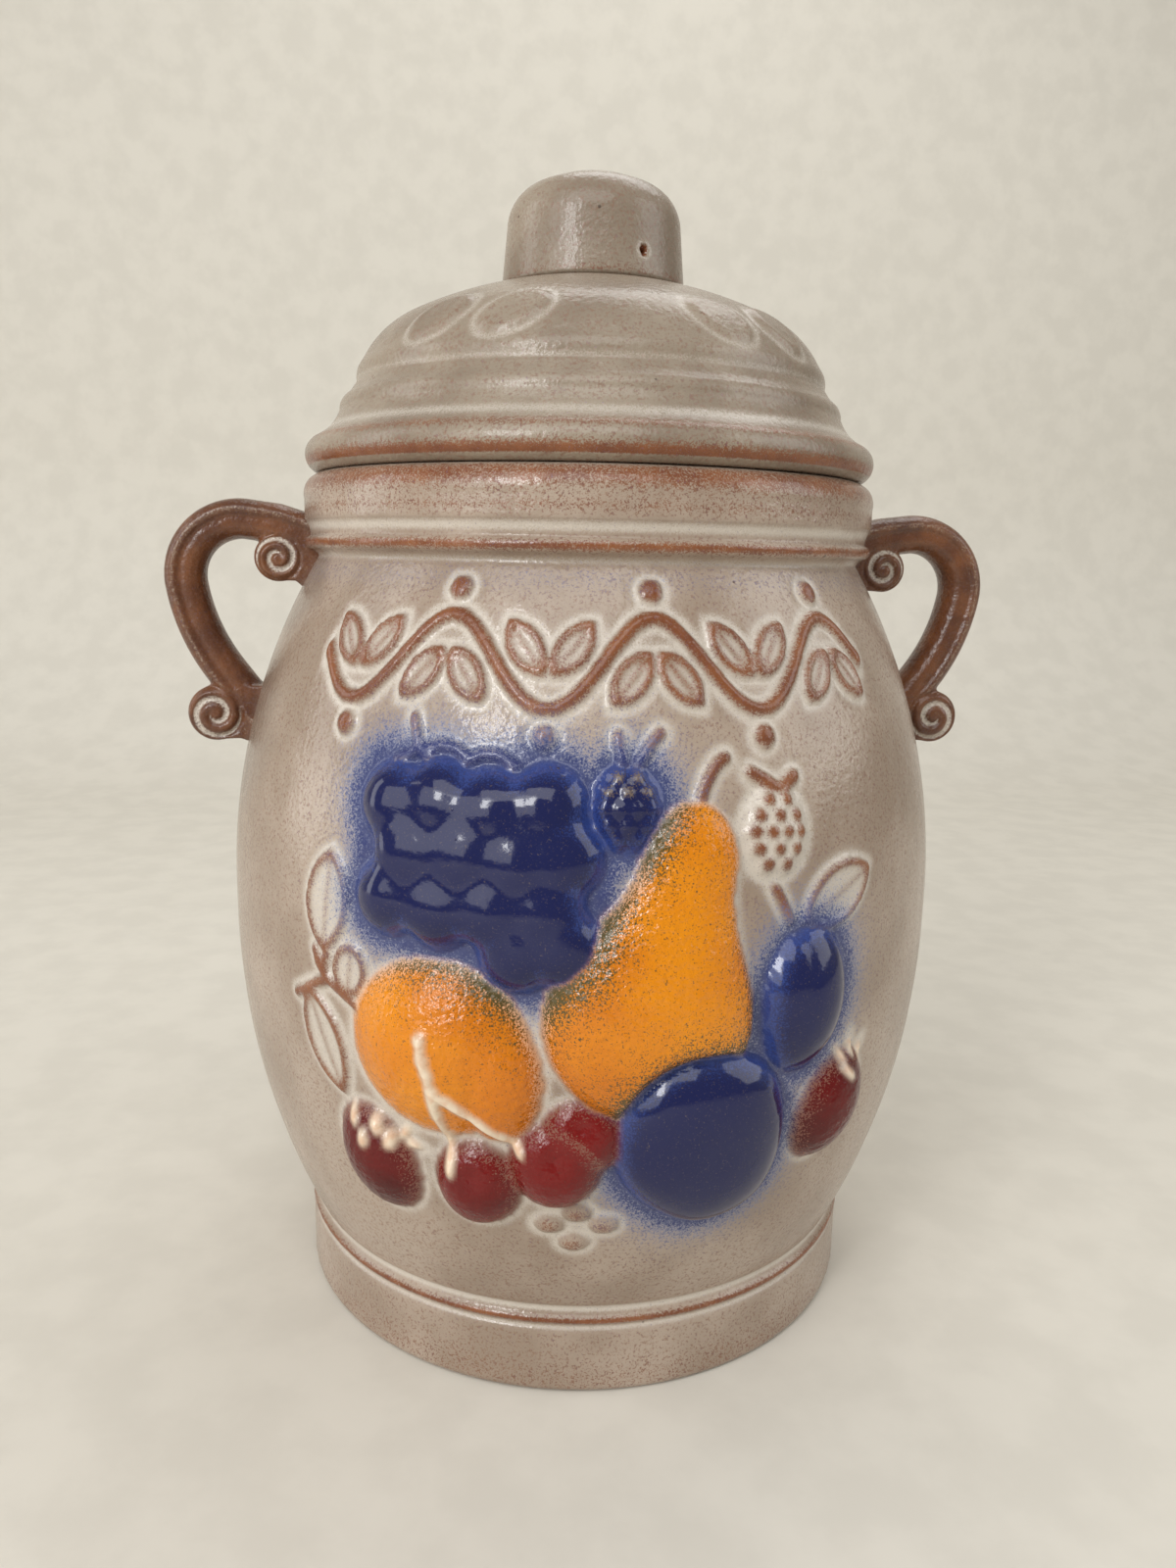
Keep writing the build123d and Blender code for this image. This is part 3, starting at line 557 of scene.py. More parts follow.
    lay_domes("plum_small", *small_plum_domes, "blue")
    plum_rim = outline_distance(angle, height, large_plum_outline)
    pear_rise, pear_rim = pear_height(angle, height)
    pear_limit = pear_relief * np.sqrt(1 - np.clip(1 - plum_rim / 7.0, 0, 1) ** 2)
    pear_rise = np.where(plum_rim > 0, np.minimum(pear_rise, pear_limit), -1.0)
    lay("pear", pear_rise, np.maximum(pear_rim, -np.maximum(plum_rim, 0)), "orange")
    lay_domes("peach", *peach_domes, "orange")
    for name, spec in (("strawberry_left", left_strawberry), ("strawberry_right", right_strawberry)):
        aside, along = local(angle, height, *spec[:3])
        dome, rim = ellipsoid(angle, height, spec)
        pits = 0.18 * np.sin(along * 1.9) * np.sin(aside * 1.9 + along * 0.6)
        lay(name, dome + np.where(dome > 1.5, pits, 0), rim, "red")
    plum_edge = np.clip(1 + plum_rim / large_plum_edge, 0, 1)
    plum = large_plum_relief * np.sqrt(np.clip(1 - plum_edge**2, 0, 1))
    plum = softened(np.where(plum_rim < 0, plum, 0.0), 8)
    crease = bump(run_distance(angle, height, plum_crease), 0, 0.9)
    lay("plum_large", np.where(plum_rim < 0, plum - 0.35 * crease, sunk), plum_rim, "blue")
    rise = np.full(angle.shape, sunk)
    distance = np.full(angle.shape, far)
    for spec in cherry_domes:
        dome, rim = ellipsoid(angle, height, spec)
        aside, along = local(angle, height, spec[0], spec[1] + 4.5)
        dome = dome - 1.3 * bump(np.hypot(aside, along), 0, 2.6)
        rise = np.maximum(rise, dome)
        distance = np.where(rim < 0, rim, np.minimum(distance, np.maximum(rim, 0)))
    lay("cherries", rise, distance, "red")

    # Pieces that lie on the fruit
    half_width, relief, runs = stem_runs["cherry_stems"]
    line = np.minimum.reduce([run_distance(angle, height, run) for run in runs])
    rise = total + ridge(line, half_width, relief)
    lay("cherry_stems", np.where(line < half_width, rise, 0), line - half_width, "cream")
    sepals = (("strawberry_left_sepals", left_sepals), ("strawberry_right_sepals", right_sepals))
    for name, places in sepals:
        added = np.zeros(angle.shape)
        distance = np.full(angle.shape, far)
        for place in places:
            aside, along = local(angle, height, *place)
            ring = np.hypot(aside / sepal_half[0], along / sepal_half[1])
            added = np.maximum(added, np.sqrt(np.clip(1 - ring**2, 0, 1)))
            distance = np.minimum(distance, sepal_half[0] * (ring - 1))
        lay(name, np.where(added > 0.15, total + added, 0), distance, "cream")
    return total, owner, owners, edge, marks


def garland_stem_distance(angle, height):
    """Distance from the garland stem's edge."""
    span = garland_end - garland_start
    half_waves = (angle - garland_start) / span * garland_half_waves
    held = np.clip(half_waves, 0, garland_half_waves)
    line = garland_middle - garland_wave * np.sin(np.pi * held)
    reach = wall_radius(garland_middle)
    per_mm = garland_half_waves / span / np.radians(1) / reach
    slope = garland_wave * np.pi * np.cos(np.pi * held) * per_mm
    beyond = np.radians(np.abs(half_waves - held) * span / garland_half_waves) * reach
    return np.hypot((height - line) / np.sqrt(1 + slope**2), beyond) - garland_half_width


def garland_leaf_list():
    """Leaves of the garland: angle, height, tilt, length and width."""
    leaves = []
    for bay in range(garland_half_waves):
        crest = -1 if bay % 2 == 0 else 1
        middle = garland_angle(bay + 0.5)
        height = garland_middle + crest * (garland_wave - garland_leaf_drop)
        for side in (-1, 1):
            angle = middle + side * math.degrees(garland_leaf_spread / belly_radius)
            leaves.append((angle, height, crest * side * -garland_leaf_tilt, *garland_leaf))
    return leaves


def garland_berry_distance(angle, height):
    """Distance from the edge of the nearest berry of the garland."""
    best = np.full(angle.shape, far)
    for bay in range(garland_half_waves):
        crest = -1 if bay % 2 == 0 else 1
        berry_height = garland_middle + crest * (garland_wave + garland_berry_away)
        aside, along = local(angle, height, garland_angle(bay + 0.5), berry_height)
        best = np.minimum(best, np.hypot(aside, along) - garland_berry_radius)
    return best


# Materials

def linear(red, green, blue):
    """Colour from screen values of 0 to 255."""
    def one(value):
        share = value / 255
        return share / 12.92 if share <= 0.04045 else ((share + 0.055) / 1.055) ** 2.4
    return (one(red), one(green), one(blue), 1.0)


class Nodes:
    """Short way to write a material's nodes."""

    def __init__(self, name):
        self.material = bpy.data.materials.new(name)
        self.material.use_nodes = True
        self.tree = self.material.node_tree
        self.shader = self.tree.nodes["Principled BSDF"]
        self.place = self.tree.nodes.new("ShaderNodeTexCoord").outputs["Object"]

    def link(self, source, target):
        self.tree.links.new(source, target)

    def noise(self, scale, detail=3.0, rough=0.55):
        node = self.tree.nodes.new("ShaderNodeTexNoise")
        node.inputs["Scale"].default_value = scale
        node.inputs["Detail"].default_value = detail
        node.inputs["Roughness"].default_value = rough
        self.link(self.place, node.inputs["Vector"])
        return node.outputs["Fac"]

    def cells(self, scale):
        node = self.tree.nodes.new("ShaderNodeTexVoronoi")
        node.inputs["Scale"].default_value = scale
        self.link(self.place, node.inputs["Vector"])
        return node.outputs["Distance"]

    def mark(self, name):
        node = self.tree.nodes.new("ShaderNodeAttribute")
        node.attribute_name = name
        return node.outputs["Fac"]

    def math(self, kind, first, second=0.0, third=0.0):
        node = self.tree.nodes.new("ShaderNodeMath")
        node.operation = kind
        node.use_clamp = False
        for socket, value in zip(node.inputs, (first, second, third)):
            if isinstance(value, (int, float)):
                socket.default_value = value
            else:
                self.link(value, socket)
        return node.outputs[0]

    def ease(self, value, low, high):
        node = self.tree.nodes.new("ShaderNodeMapRange")
        node.interpolation_type = "SMOOTHSTEP"
        node.inputs["From Min"].default_value = low
        node.inputs["From Max"].default_value = high
        self.link(value, node.inputs["Value"])
        return node.outputs["Result"]

    def mix(self, share, first, second):
        node = self.tree.nodes.new("ShaderNodeMix")
        node.data_type = "RGBA"
        if isinstance(share, (int, float)):
            node.inputs[0].default_value = share
        else:
            self.link(share, node.inputs[0])
        for socket, value in ((node.inputs[6], first), (node.inputs[7], second)):
            if isinstance(value, tuple):
                socket.default_value = value
            else:
                self.link(value, socket)
        return node.outputs[2]

    def bumps(self, *layers):
        normal = None
        for height, distance, strength in layers:
            node = self.tree.nodes.new("ShaderNodeBump")
            node.inputs["Distance"].default_value = distance
            node.inputs["Strength"].default_value = strength
            self.link(height, node.inputs["Height"])
            if normal is not None:
                self.link(normal, node.inputs["Normal"])
            normal = node.outputs["Normal"]
        self.link(normal, self.shader.inputs["Normal"])

    def over(self, colour, other, share, strength):
        """Colour with another laid over it, as strongly as the share and the strength say."""
        return self.mix(self.math("MULTIPLY", share, strength), colour, other)

    def scattered(self, value, spray, spread, low, high):
        """Smooth step of a value whose edge is broken up by a spray."""
        return self.ease(self.math("MULTIPLY_ADD", spray, spread, value), low, high)


# Where the handles are luted to the wall: heights and half heights of the two seats of each
luted_half_depth = 6.0
luted_seats = ((198.0, 5.0), (158.0, 8.0))
luted_flatness = 2.2


def luted_line_and_join_shade(n):
    """Painted shade on the wall round the handle joins, and the whitish line where the handles are luted
    to the wall, from the place on the pot.
    """
    split = n.tree.nodes.new("ShaderNodeSeparateXYZ")
    n.link(n.place, split.inputs[0])
    x, y, z = split.outputs
    wobble = n.math("MULTIPLY_ADD", n.noise(60, 3), 0.016, -0.008)
    beside = n.math("MAXIMUM", n.math("SUBTRACT", n.math("ABSOLUTE", y), luted_half_depth * MM), 0.0)
    nearest = None
    for middle, half in luted_seats:
        away = n.math("ABSOLUTE", n.math("SUBTRACT", z, middle * MM))
        above = n.math("MAXIMUM", n.math("SUBTRACT", away, half * MM), 0.0)
        above = n.math("MULTIPLY", above, luted_flatness)
        squares = n.math("ADD", n.math("MULTIPLY", beside, beside), n.math("MULTIPLY", above, above))
        reach = n.math("SQRT", squares)
        nearest = reach if nearest is None else n.math("MINIMUM", nearest, reach)
    outer = n.ease(n.math("ABSOLUTE", x), 0.066, 0.07)
    # Painted shade: the wall is darkened within a few centimetres of the handle joins
    join_shade = n.math("MULTIPLY", outer, n.ease(n.math("ADD", nearest, wobble), 0.038, 0.022))
    line = n.math("MULTIPLY", outer, n.ease(nearest, 0.0026, 0.0008))
    return join_shade, line


def glaze(name, dark=(152, 134, 117), light=(176, 159, 143), brown_dark=(112, 56, 22),
          brown_light=(138, 80, 40), roughness=0.15, peel=0.2, specular=0.5, luted=False):
    """Speckled stoneware glaze, coloured by the marks that a mesh carries."""
    n = Nodes(name)
    cloud = n.noise(26, 4)
    fine = n.noise(1300, 2, 0.7)
    grit = n.noise(2600, 1, 0.5)
    spray = n.math("SUBTRACT", n.math("ADD", fine, grit), 1.0)
    stone = n.mix(n.ease(cloud, 0.36, 0.66), linear(*dark), linear(*light))
    stone = n.over(stone, linear(132, 96, 72), n.ease(fine, 0.5, 0.68), 0.7)
    pool = n.mark("pool")
    if luted:
        join_shade, line = luted_line_and_join_shade(n)
        # Painted shade: grey darkening of the wall round the handle joins
        stone = n.over(stone, linear(122, 107, 94), join_shade, 0.6)
        pool = n.math("MAXIMUM", pool, n.math("MULTIPLY", line, 0.4))
    brown_edge = n.scattered(n.mark("brown"), spray, 0.9, 0.12, 0.85)
    brown = n.mix(n.ease(n.noise(120, 3), 0.3, 0.75), linear(*brown_dark), linear(*brown_light))
    pool_edge = n.scattered(pool, spray, 0.6, 0.1, 0.95)
    colour = n.over(stone, linear(216, 208, 196), pool_edge, 0.8)
    colour = n.over(colour, brown, brown_edge, 0.94)
    halo = n.math("MULTIPLY_ADD", spray, 0.75, n.mark("halo"))
    haze = n.mix(n.ease(halo, 0.45, 1.0), linear(114, 126, 160), linear(38, 54, 110))
    colour = n.over(colour, haze, n.ease(halo, 0.08, 0.85), 0.94)
    # Coloured glazes
    depth = n.mark("depth")
    orange = n.mix(n.ease(cloud, 0.35, 0.65), linear(208, 116, 0), linear(226, 138, 0))
    orange = n.over(orange, linear(190, 92, 6), n.ease(fine, 0.6, 0.75), 0.3)
    orange = n.mix(n.scattered(depth, spray, 0.35, 0.0, 0.17), linear(222, 168, 128), orange)
    olive = n.scattered(n.mark("olive"), spray, 1.5, 0.24, 0.85)
    orange = n.over(orange, linear(74, 70, 36), olive, 0.96)
    colour = n.mix(n.mark("orange"), colour, orange)
    blue_in = n.scattered(depth, spray, 0.3, 0.0, 0.3)
    blue = n.mix(blue_in, linear(52, 70, 134), linear(18, 25, 74))
    blue = n.over(blue, linear(150, 130, 96), brown_edge, 0.55)
    colour = n.mix(n.mark("blue"), colour, blue)
    red = n.mix(n.ease(cloud, 0.35, 0.7), linear(116, 14, 12), linear(76, 13, 12))
    red = n.mix(n.scattered(depth, spray, 0.6, 0.0, 0.16), linear(130, 84, 70), red)
    red = n.over(red, linear(70, 26, 24), n.ease(fine, 0.6, 0.72), 0.35)
    colour = n.mix(n.mark("red"), colour, red)
    cream = n.mix(n.ease(n.noise(300), 0.4, 0.65), linear(240, 222, 196), linear(226, 190, 158))
    colour = n.mix(n.mark("cream"), colour, cream)
    # Specks and pinholes in the glaze
    speck = n.math("MULTIPLY", n.ease(n.cells(62), 0.036, 0.018), n.ease(n.noise(21, 2), 0.5, 0.56))
    colour = n.over(colour, linear(66, 48, 38), speck, 0.8)
    pin = n.math("MULTIPLY", n.ease(n.cells(150), 0.055, 0.028), n.ease(n.noise(60, 2), 0.55, 0.62))
    colour = n.over(colour, linear(70, 52, 42), pin, 0.75)
    n.link(colour, n.shader.inputs["Base Color"])
    rough = n.math("MULTIPLY_ADD", fine, 0.12, roughness)
    n.link(n.math("MULTIPLY_ADD", pin, 0.4, rough), n.shader.inputs["Roughness"])
    n.shader.inputs["Specular IOR Level"].default_value = specular
    n.bumps((n.noise(70, 2), 0.0012, 0.14), (n.noise(560, 2), 0.0012, peel), (pin, 0.0006, 0.5))
    return n.material


stone = glaze("stoneware_glaze", luted=True)
# Painted shade: the lid and knob take a darker copy of the stoneware glaze, which shares the crock's slot
lid_stone_shaded = glaze("lid_shaded_glaze", dark=(134, 120, 104), light=(158, 145, 128), roughness=0.2, specular=0.45)
trim = glaze("relief_glaze")
orange_glaze = glaze("orange_glaze", roughness=0.1, peel=0.5)
blue_glaze = glaze("blue_glaze", roughness=0.05, peel=0.04)
red_glaze = glaze("red_glaze", roughness=0.14, peel=0.35, specular=0.4)
brown_glaze = glaze("brown_glaze", dark=(150, 130, 114), light=(170, 150, 132),
                    brown_dark=(84, 42, 16), brown_light=(120, 70, 34), roughness=0.22, peel=0.25)

# Material and slot of each node that isn't in the glaze of the low relief
look_of = {
    name: (material, slot)
    for material, slot, names in (
        (stone, "stoneware_glaze", ("crock",)),
        (lid_stone_shaded, "stoneware_glaze", ("lid", "lid_knob", "lid_relief_ovals")),
        (orange_glaze, "orange_glaze", ("pear", "peach")),
        (blue_glaze, "blue_glaze", ("grape_bunch", "plum_large", "plum_small", "bramble")),
        (red_glaze, "red_glaze", ("cherries", "strawberry_left", "strawberry_right")),
        (trim, "cream_glaze", ("cherry_stems", "strawberry_left_sepals", "strawberry_right_sepals")),
        (brown_glaze, "brown_glaze", ("handle_left", "handle_right")),
    )
    for name in names
}


# Pieces from an outline turned round the axis

def outline_normals(outline):
    """Outward normals of an outline in radius and height."""
    step = np.gradient(outline, axis=0)
    return unit(np.stack([-step[:, 1], step[:, 0]], -1))


def turned_grid(rows, angles):
    """Angle, radius, height and the outward normal's radius and height over rows and angles."""
    angle, radius = np.meshgrid(angles, rows[:, 0])
    height, out_r, out_z = (np.meshgrid(angles, row)[1] for row in (rows[:, 1], *outline_normals(rows).T))
    return angle, radius, height, out_r, out_z


def blank_marks(shape, **given):
    """Marks of a mesh: those given, and nought for the others."""
    names = (*colours, "brown", "pool", "halo", "depth", "olive")
    return {name: np.zeros(shape) for name in names} | given


def finish_piece(piece, body, node):
    """Body and replaced node of a piece."""
    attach(piece, body)
    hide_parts(node)


def dress(body, nodes, grid, rise, owner, marks):
    """Piece of the first node with pockets, and a piece of each other node seated in them."""
    angle, radius, height, out_r, out_z = grid

    def raised(by):
        return grid_positions(radius + by * out_r, height + by * out_z, angle)

    sheets = [raised(by) for by in (rise, -pocket_depth, -seat_depth)]
    normal = grid_normals(sheets[0]).reshape(-1, 3)
    top, low, seat = (sheet.reshape(-1, 3) for sheet in sheets)
    faces = grid_faces(*angle.shape).reshape(-1, 4)
    face_owner = owner.reshape(-1)[faces].max(-1)
    flat = {key: values.reshape(-1) for key, values in marks.items()}
    for number, node in enumerate(nodes):
        material = look_of.get(node, (trim, "relief_glaze"))[0]
        if number == 0:
            piece = seated(node + "_glazed", top, low, normal, faces, face_owner > 0, flat, material)
        else:
            own = faces[face_owner == number]
            piece = patch(node + "_glazed", top, seat, normal, own, flat, material)
        finish_piece(piece, body, node)


# Crock with its relief

# Share by which a quarter circle bows out from its chord
quarter = 0.207
inner_corner = 12.0
floor_height = 9.6

# Rings round the crock: strength, height and spread of each
brown_rings = (
    (0.95, 20.0, 0.8), (0.9, 204.4, 1.1), (0.7, 219.5, 3.2), (0.35, 213.0, 1.5), (0.25, 4.0, 5.0),
)
white_rings = ((1.0, 22.9, 1.1), (0.7, 17.9, 0.7), (0.8, 208.6, 1.4), (0.5, 201.2, 1.2))
haze_under_collar = ((0.2, 197.5, 3.6),)

# Blue haze on the stoneware and olive on the orange fruit, by their distance from blue fruit
haze_reach = 7.2
haze_power = 1.3
olive_reach = 9.0
olive_strength = 1.3
# Distance inside a motif over which its glaze gets to its full depth
depth_reach = 14


def rings(height, specs):
    """Bell curves over the height, added up."""
    return sum(strength * bump(height, middle, spread) for strength, middle, spread in specs)


def crock_rows():
    """Outline of the crock from the middle of its floor over the rim to the middle of its foot."""
    def belly_bow(radius, low, high):
        chord = math.hypot(low[0] - high[0], low[1] - high[1])
        return (radius - math.sqrt(radius**2 - (chord / 2) ** 2)) / chord

    deep = wall_thickness
    inner_run = (upper_arc - deep) ** 2 - (mouth_radius - belly_radius + upper_arc) ** 2
    inner_top = (mouth_radius, belly_high + math.sqrt(inner_run))
    inner_high = (belly_radius - deep, belly_high)
    inner_middle = (belly_radius - deep, belly_low)
    foot_end = (base_radius, base_top)
    low_end = (belly_radius, belly_low)
    high_end = (belly_radius, belly_high)
    neck_end = (neck_radius, neck_height)
    inner_end = floor_height + inner_corner
    inner_low = (float(wall_radius(inner_end)) - deep, inner_end)
    outline = sampled((0.0, 2.6), [
        ((67.6, 2.6), 0, 12.0), ((69.8, 0.0), 0, 1.2), ((76.4, 0.0), 0, 2.5),
        ((78.6, 2.2), quarter, 0.6), ((78.6, 17.2), 0, 1.5), ((78.1, 18.9), -0.2, 0.4),
        ((base_radius, 20.9), 0.3, 0.35), (foot_end, -0.24, 0.4),
        (low_end, belly_bow(lower_arc, foot_end, low_end), fine_step),
        (high_end, 0, fine_step),
        (neck_end, belly_bow(upper_arc, high_end, neck_end), fine_step),
        ((75.1, 202.8), -quarter / 2, 0.5), ((75.1, 206.2), 0.41, 0.4), ((76.5, 210.4), -quarter / 2, 0.5),
        ((76.5, 215.5), 0, 0.8), ((72.4, 222.0), quarter, 0.5), ((67.0, 222.0), 0, 1.2),
        ((mouth_radius, 220.6), quarter, 0.5), (inner_top, 0, 4.0),
        (inner_high, -belly_bow(upper_arc - deep, inner_top, inner_high), 6.0),
        (inner_middle, 0, 6.0),
        (inner_low, -belly_bow(lower_arc - deep, inner_middle, inner_low), 6.0),
        ((inner_low[0] - inner_corner, floor_height), -quarter, 3.0), ((0.0, floor_height), 0, 12.0),
    ])
    return outline[::-1]


def build_crock():
    """Crock with pockets, and every relief piece seated in them."""
    rows = crock_rows()
    angles = columns(relief_left, relief_right, math.degrees(fine_step / belly_radius), 5.2)
    grid = turned_grid(rows, angles)
    angle, _, height, out_r, _ = grid
    outside = out_r > 0.5
    zone = outside & (height > relief_low) & (height < relief_high)
    zone &= (angle >= relief_left) & (angle <= relief_right)
    from_front = (angle + 180) % 360 - 180
    total, owner, owners, edge, marks = relief_on(from_front, height)
    owner = np.where(zone, owner, 0)
    total = np.where(zone, total, 0)
    for key in marks:
        marks[key] = np.where(zone, marks[key], 0)
    rise = softened(total, 1)
    rise -= np.where(zone & (owner == 0), 0.3 * marks["pool"], 0)
    depth = np.clip(-edge / depth_reach, 0, 1)
    marks["depth"] = softened(np.where(owner > 0, depth, 0), 1)
    reach = blue_reach(from_front, height)
    spray = np.exp(-(np.maximum(reach, 0) / haze_reach) ** haze_power) * outside
    under_collar = rings(height, haze_under_collar) * outside
    marks["halo"] = np.maximum(np.clip(spray * 1.02, 0, 1) * (marks["orange"] == 0), under_collar)
    near_blue = np.exp((np.minimum(edge, 0) - np.maximum(reach, 0)) / olive_reach)
    marks["olive"] = np.where(marks["orange"] > 0, olive_strength * near_blue, 0)
    for key in (*colours, "brown", "pool", "olive"):
        marks[key] = softened(marks[key], 1)
    for key, specs in (("brown", brown_rings), ("pool", white_rings)):
        marks[key] = np.maximum(marks[key], np.clip(rings(height, specs), 0, 1) * outside)
    dress("crock", owners, grid, rise, owner, marks)


def blue_reach(angle, height):
    """Distance from the nearest blue fruit."""
    best = np.full(angle.shape, 60.0)
    specs = [(*place, 0, 2 * grape_radius, 2 * grape_radius, grape_relief) for place in grape_places]
    for spec in specs + [small_plum_domes[0], bramble]:
        best = np.minimum(best, ellipsoid(angle, height, spec)[1])
    best = np.minimum(best, outline_distance(angle, height, large_plum_outline))
    return np.minimum(best, outline_distance(angle, height, grape_outline))


# Lid and knob

lid_oval_pairs = ((-34.5, 52.0), (34.5, -52.0), (145.5, 52.0), (214.5, -52.0))
lid_ovals = [(middle + side * 10.2, tilt) for middle, tilt in lid_oval_pairs for side in (-1, 1)]
lid_oval_half = (6.0, 9.0)
lid_oval_height = 256.6
lid_columns = 480
lid_brown_rings = ((1.0, 224.2, 2.2), (0.5, 230.5, 1.2))
lid_white_rings = ((0.55, 233.5, 1.4), (0.4, 246.0, 1.0))
lid_folds = ((0.35, 248.8, 1.6), (-0.35, 245.6, 0.9))
lid_seat = 222.5


def lid_rows():
    """Outline of the lid from the middle of its top over the lip to the middle of its underside."""
    outline = sampled((0.0, 264.5), [
        ((24.2, 264.5), 0, 6.0), ((46.5, 256.1), -0.03, 4.0), ((59.5, 222.2), -0.12, 4.0),
        ((59.5, 213.2), 0, 4.0), ((64.5, 213.2), 0, 2.0), ((64.5, 222.2), 0, 4.0), ((72.7, 222.2), 0, 1.5),
        ((73.2, 231.1), 0.34, 0.5), ((66.9, 238.3), -0.1, 0.7), ((65.0, 242.0), 0.14, 0.5),
        ((62.8, 245.3), -0.07, 0.4), ((49.5, 262.1), 0.115, 0.75), ((24.2, 270.9), 0.03, 0.8),
        ((0.0, 270.9), 0, 8.0),
    ])
    return outline[::-1]


def build_lid():
    """Lid with its ovals."""
    rows = lid_rows()
    angles = np.linspace(-180, 180, lid_columns + 1)[:-1]
    grid = turned_grid(rows, angles)
    angle = grid[0]
    height = rows[:, 1]
    gone = np.concatenate([[0], np.cumsum(np.hypot(*np.diff(rows, axis=0).T))])
    outside = (height > lid_seat) & (outline_normals(rows).sum(1) > 0.1)
    start = int(np.argmin(np.abs(height - lid_oval_height) + 100 * ~outside))
    middle_radius = rows[start, 0]
    slide = np.meshgrid(angles, gone[start] - gone)[1]
    rise = np.zeros(angle.shape)
    owner = np.zeros(angle.shape, int)
    brown = np.zeros(angle.shape)
    pool = np.zeros(angle.shape)
    for middle, tilt in lid_ovals:
        away = (angle - middle + 180) % 360 - 180
        aside, along = rotated((np.radians(away) * middle_radius, slide), math.radians(tilt))
        ring = np.hypot(aside / lid_oval_half[0], along / lid_oval_half[1])
        rim = (ring - 1) * lid_oval_half[0]
        near = outside[:, None] & (np.abs(away) < 30)
        dome = 0.7 * np.sqrt(np.clip(1 - ring**2, 0, 1)) + 0.4 * bump(rim, -1.3, 1.0) * (ring < 1)
        rise = np.where(near, np.maximum(rise, dome), rise)
        owner = np.where(near & (ring < 1), 1, owner)
        brown = np.where(near, np.maximum(brown, 0.2 * bump(rim, -1.3, 0.9)), brown)
        pool = np.where(near, np.maximum(pool, 0.5 * bump(rim, 0.9, 1.0)), pool)
        rise = np.where(near & (ring >= 1), rise - 0.25 * bump(rim, 0.9, 0.9), rise)
    rise = softened(rise, 1) + (rings(height, lid_folds) * outside)[:, None]
    lip = np.clip(rings(height, lid_brown_rings), 0, 1) * outside
    grooves = rings(height, lid_white_rings) * outside
    under = (height < lid_seat) * 0.3
    marks = blank_marks(angle.shape, brown=np.maximum(brown, (lip + under)[:, None]),
                        pool=np.maximum(pool, grooves[:, None]))
    dress("lid", ("lid", "lid_relief_ovals"), grid, rise, owner, marks)


def build_knob():
    """Hollow knob with its firing vent."""
    outline = sampled((0.0, 294.6), [
        ((8.7, 291.6), 0.1, 2.0), ((17.4, 286.4), 0.17, 2.0), ((17.4, 270.9), 0, 4.0),
        ((23.0, 270.9), 0, 2.0), ((24.2, 272.1), quarter, 0.4), ((22.9, 286.4), 0, 0.9),
        ((14.2, 297.0), 0.17, 0.7), ((0.0, 300.2), 0.055, 0.8),
    ])[::-1]
    vent_angle = 25.5
    vent_height = 277.4
    vent_radius = 0.9
    vent_depth = 2.6
    angles = columns(vent_angle - 12, vent_angle + 12, 0.8, 4.0)
    angle, radius = np.meshgrid(angles, outline[:, 0])
    height = np.meshgrid(angles, outline[:, 1])[1]
    outer = (np.arange(len(outline)) < int(np.argmax(outline[:, 0])) + 1)[:, None]
    aside = np.radians(angle - vent_angle) * radius
    ring = np.hypot(aside, height - vent_height)
    in_vent = 1 - eased(ring, 0.55 * vent_radius, 1.35 * vent_radius)
    radius = radius - outer * vent_depth * in_vent * (radius > 20)
    brown = 0.35 * bump(height, 272.0, 1.6) * outer + 0.9 * (ring < 1.3 * vent_radius) * outer
    marks = blank_marks(angle.shape, brown=brown, pool=0.5 * bump(ring, 1.9, 0.7) * outer)
    top = grid_positions(radius, height, angle)
    normal = grid_normals(top).reshape(-1, 3)
    faces = grid_faces(*angle.shape).reshape(-1, 4)
    flat = {key: values.reshape(-1) for key, values in marks.items()}
    knob = make_piece("lid_knob_glazed", top.reshape(-1, 3), faces, normal[faces], flat, lid_stone_shaded)
    finish_piece(knob, "lid", "lid_knob")


build_crock()
build_lid()
build_knob()


# Handles: radius from the axis and height of points on them
strap_points = ((70.5, 204.2), (75.0, 206.0), (84.0, 208.8), (93.2, 209.9))
strap_line_bends = ((108.0, 192.6), (98.6, 170.0), (88.8, 157.2))
strap_section = (
    (5.7, 0.0), (5.62, -2.4), (5.2, -4.4), (4.4, -5.8), (3.6, -6.6), (2.9, -7.0), (2.1, -6.7),
    (1.3, -5.9), (0.4, -6.1), (-0.8, -6.3), (-2.0, -6.0), (-3.2, -5.2), (-4.2, -3.9), (-4.8, -2.0),
)
strap_inner = (-5.0, 0.0)
handle_scrolls = ((83.6, 200.2, 6.3, 215.0), (101.2, 158.4, 7.5, 60.0))
scroll_half_depth = 7.35
scroll_turns = 1.75
scroll_edge = 2.0
bead_place = 2.9
# Plates that join the strap and its scrolls to the wall
root_plates = (
    ((70.0, 206.0), (74.0, 189.5), (75.4, 191.0), (79.0, 194.2), (83.0, 194.2), (83.6, 206.0)),
    ((84.0, 166.0), (88.0, 148.5), (90.0, 149.8), (95.0, 151.6), (101.0, 151.2), (101.0, 160.0),
     (94.0, 166.0)),
)
root_half_depth = 6.3
handle_voxel = 0.55
collar_radius = 75.8


def bend_points(start, heading, end, step):
    """Points along the arc that leaves start with a heading and reaches end, and its last heading."""
    chord = np.array(end, float) - np.array(start, float)
    length = float(np.hypot(*chord))
    left = np.array([-heading[1], heading[0]])
    radius = length**2 / (2 * float(chord @ left))
    centre = np.array(start) + left * radius
    sweep = 2 * math.asin(min(length / (2 * abs(radius)), 1)) * (1 if radius > 0 else -1)
    count = max(int(abs(radius * sweep) / step), 2)
    first = np.array(start) - centre
    shares = np.linspace(0, 1, count + 1)[1:]
    points = [tuple(centre + rotated(first, sweep * share)) for share in shares]
    return points, rotated(heading, sweep)


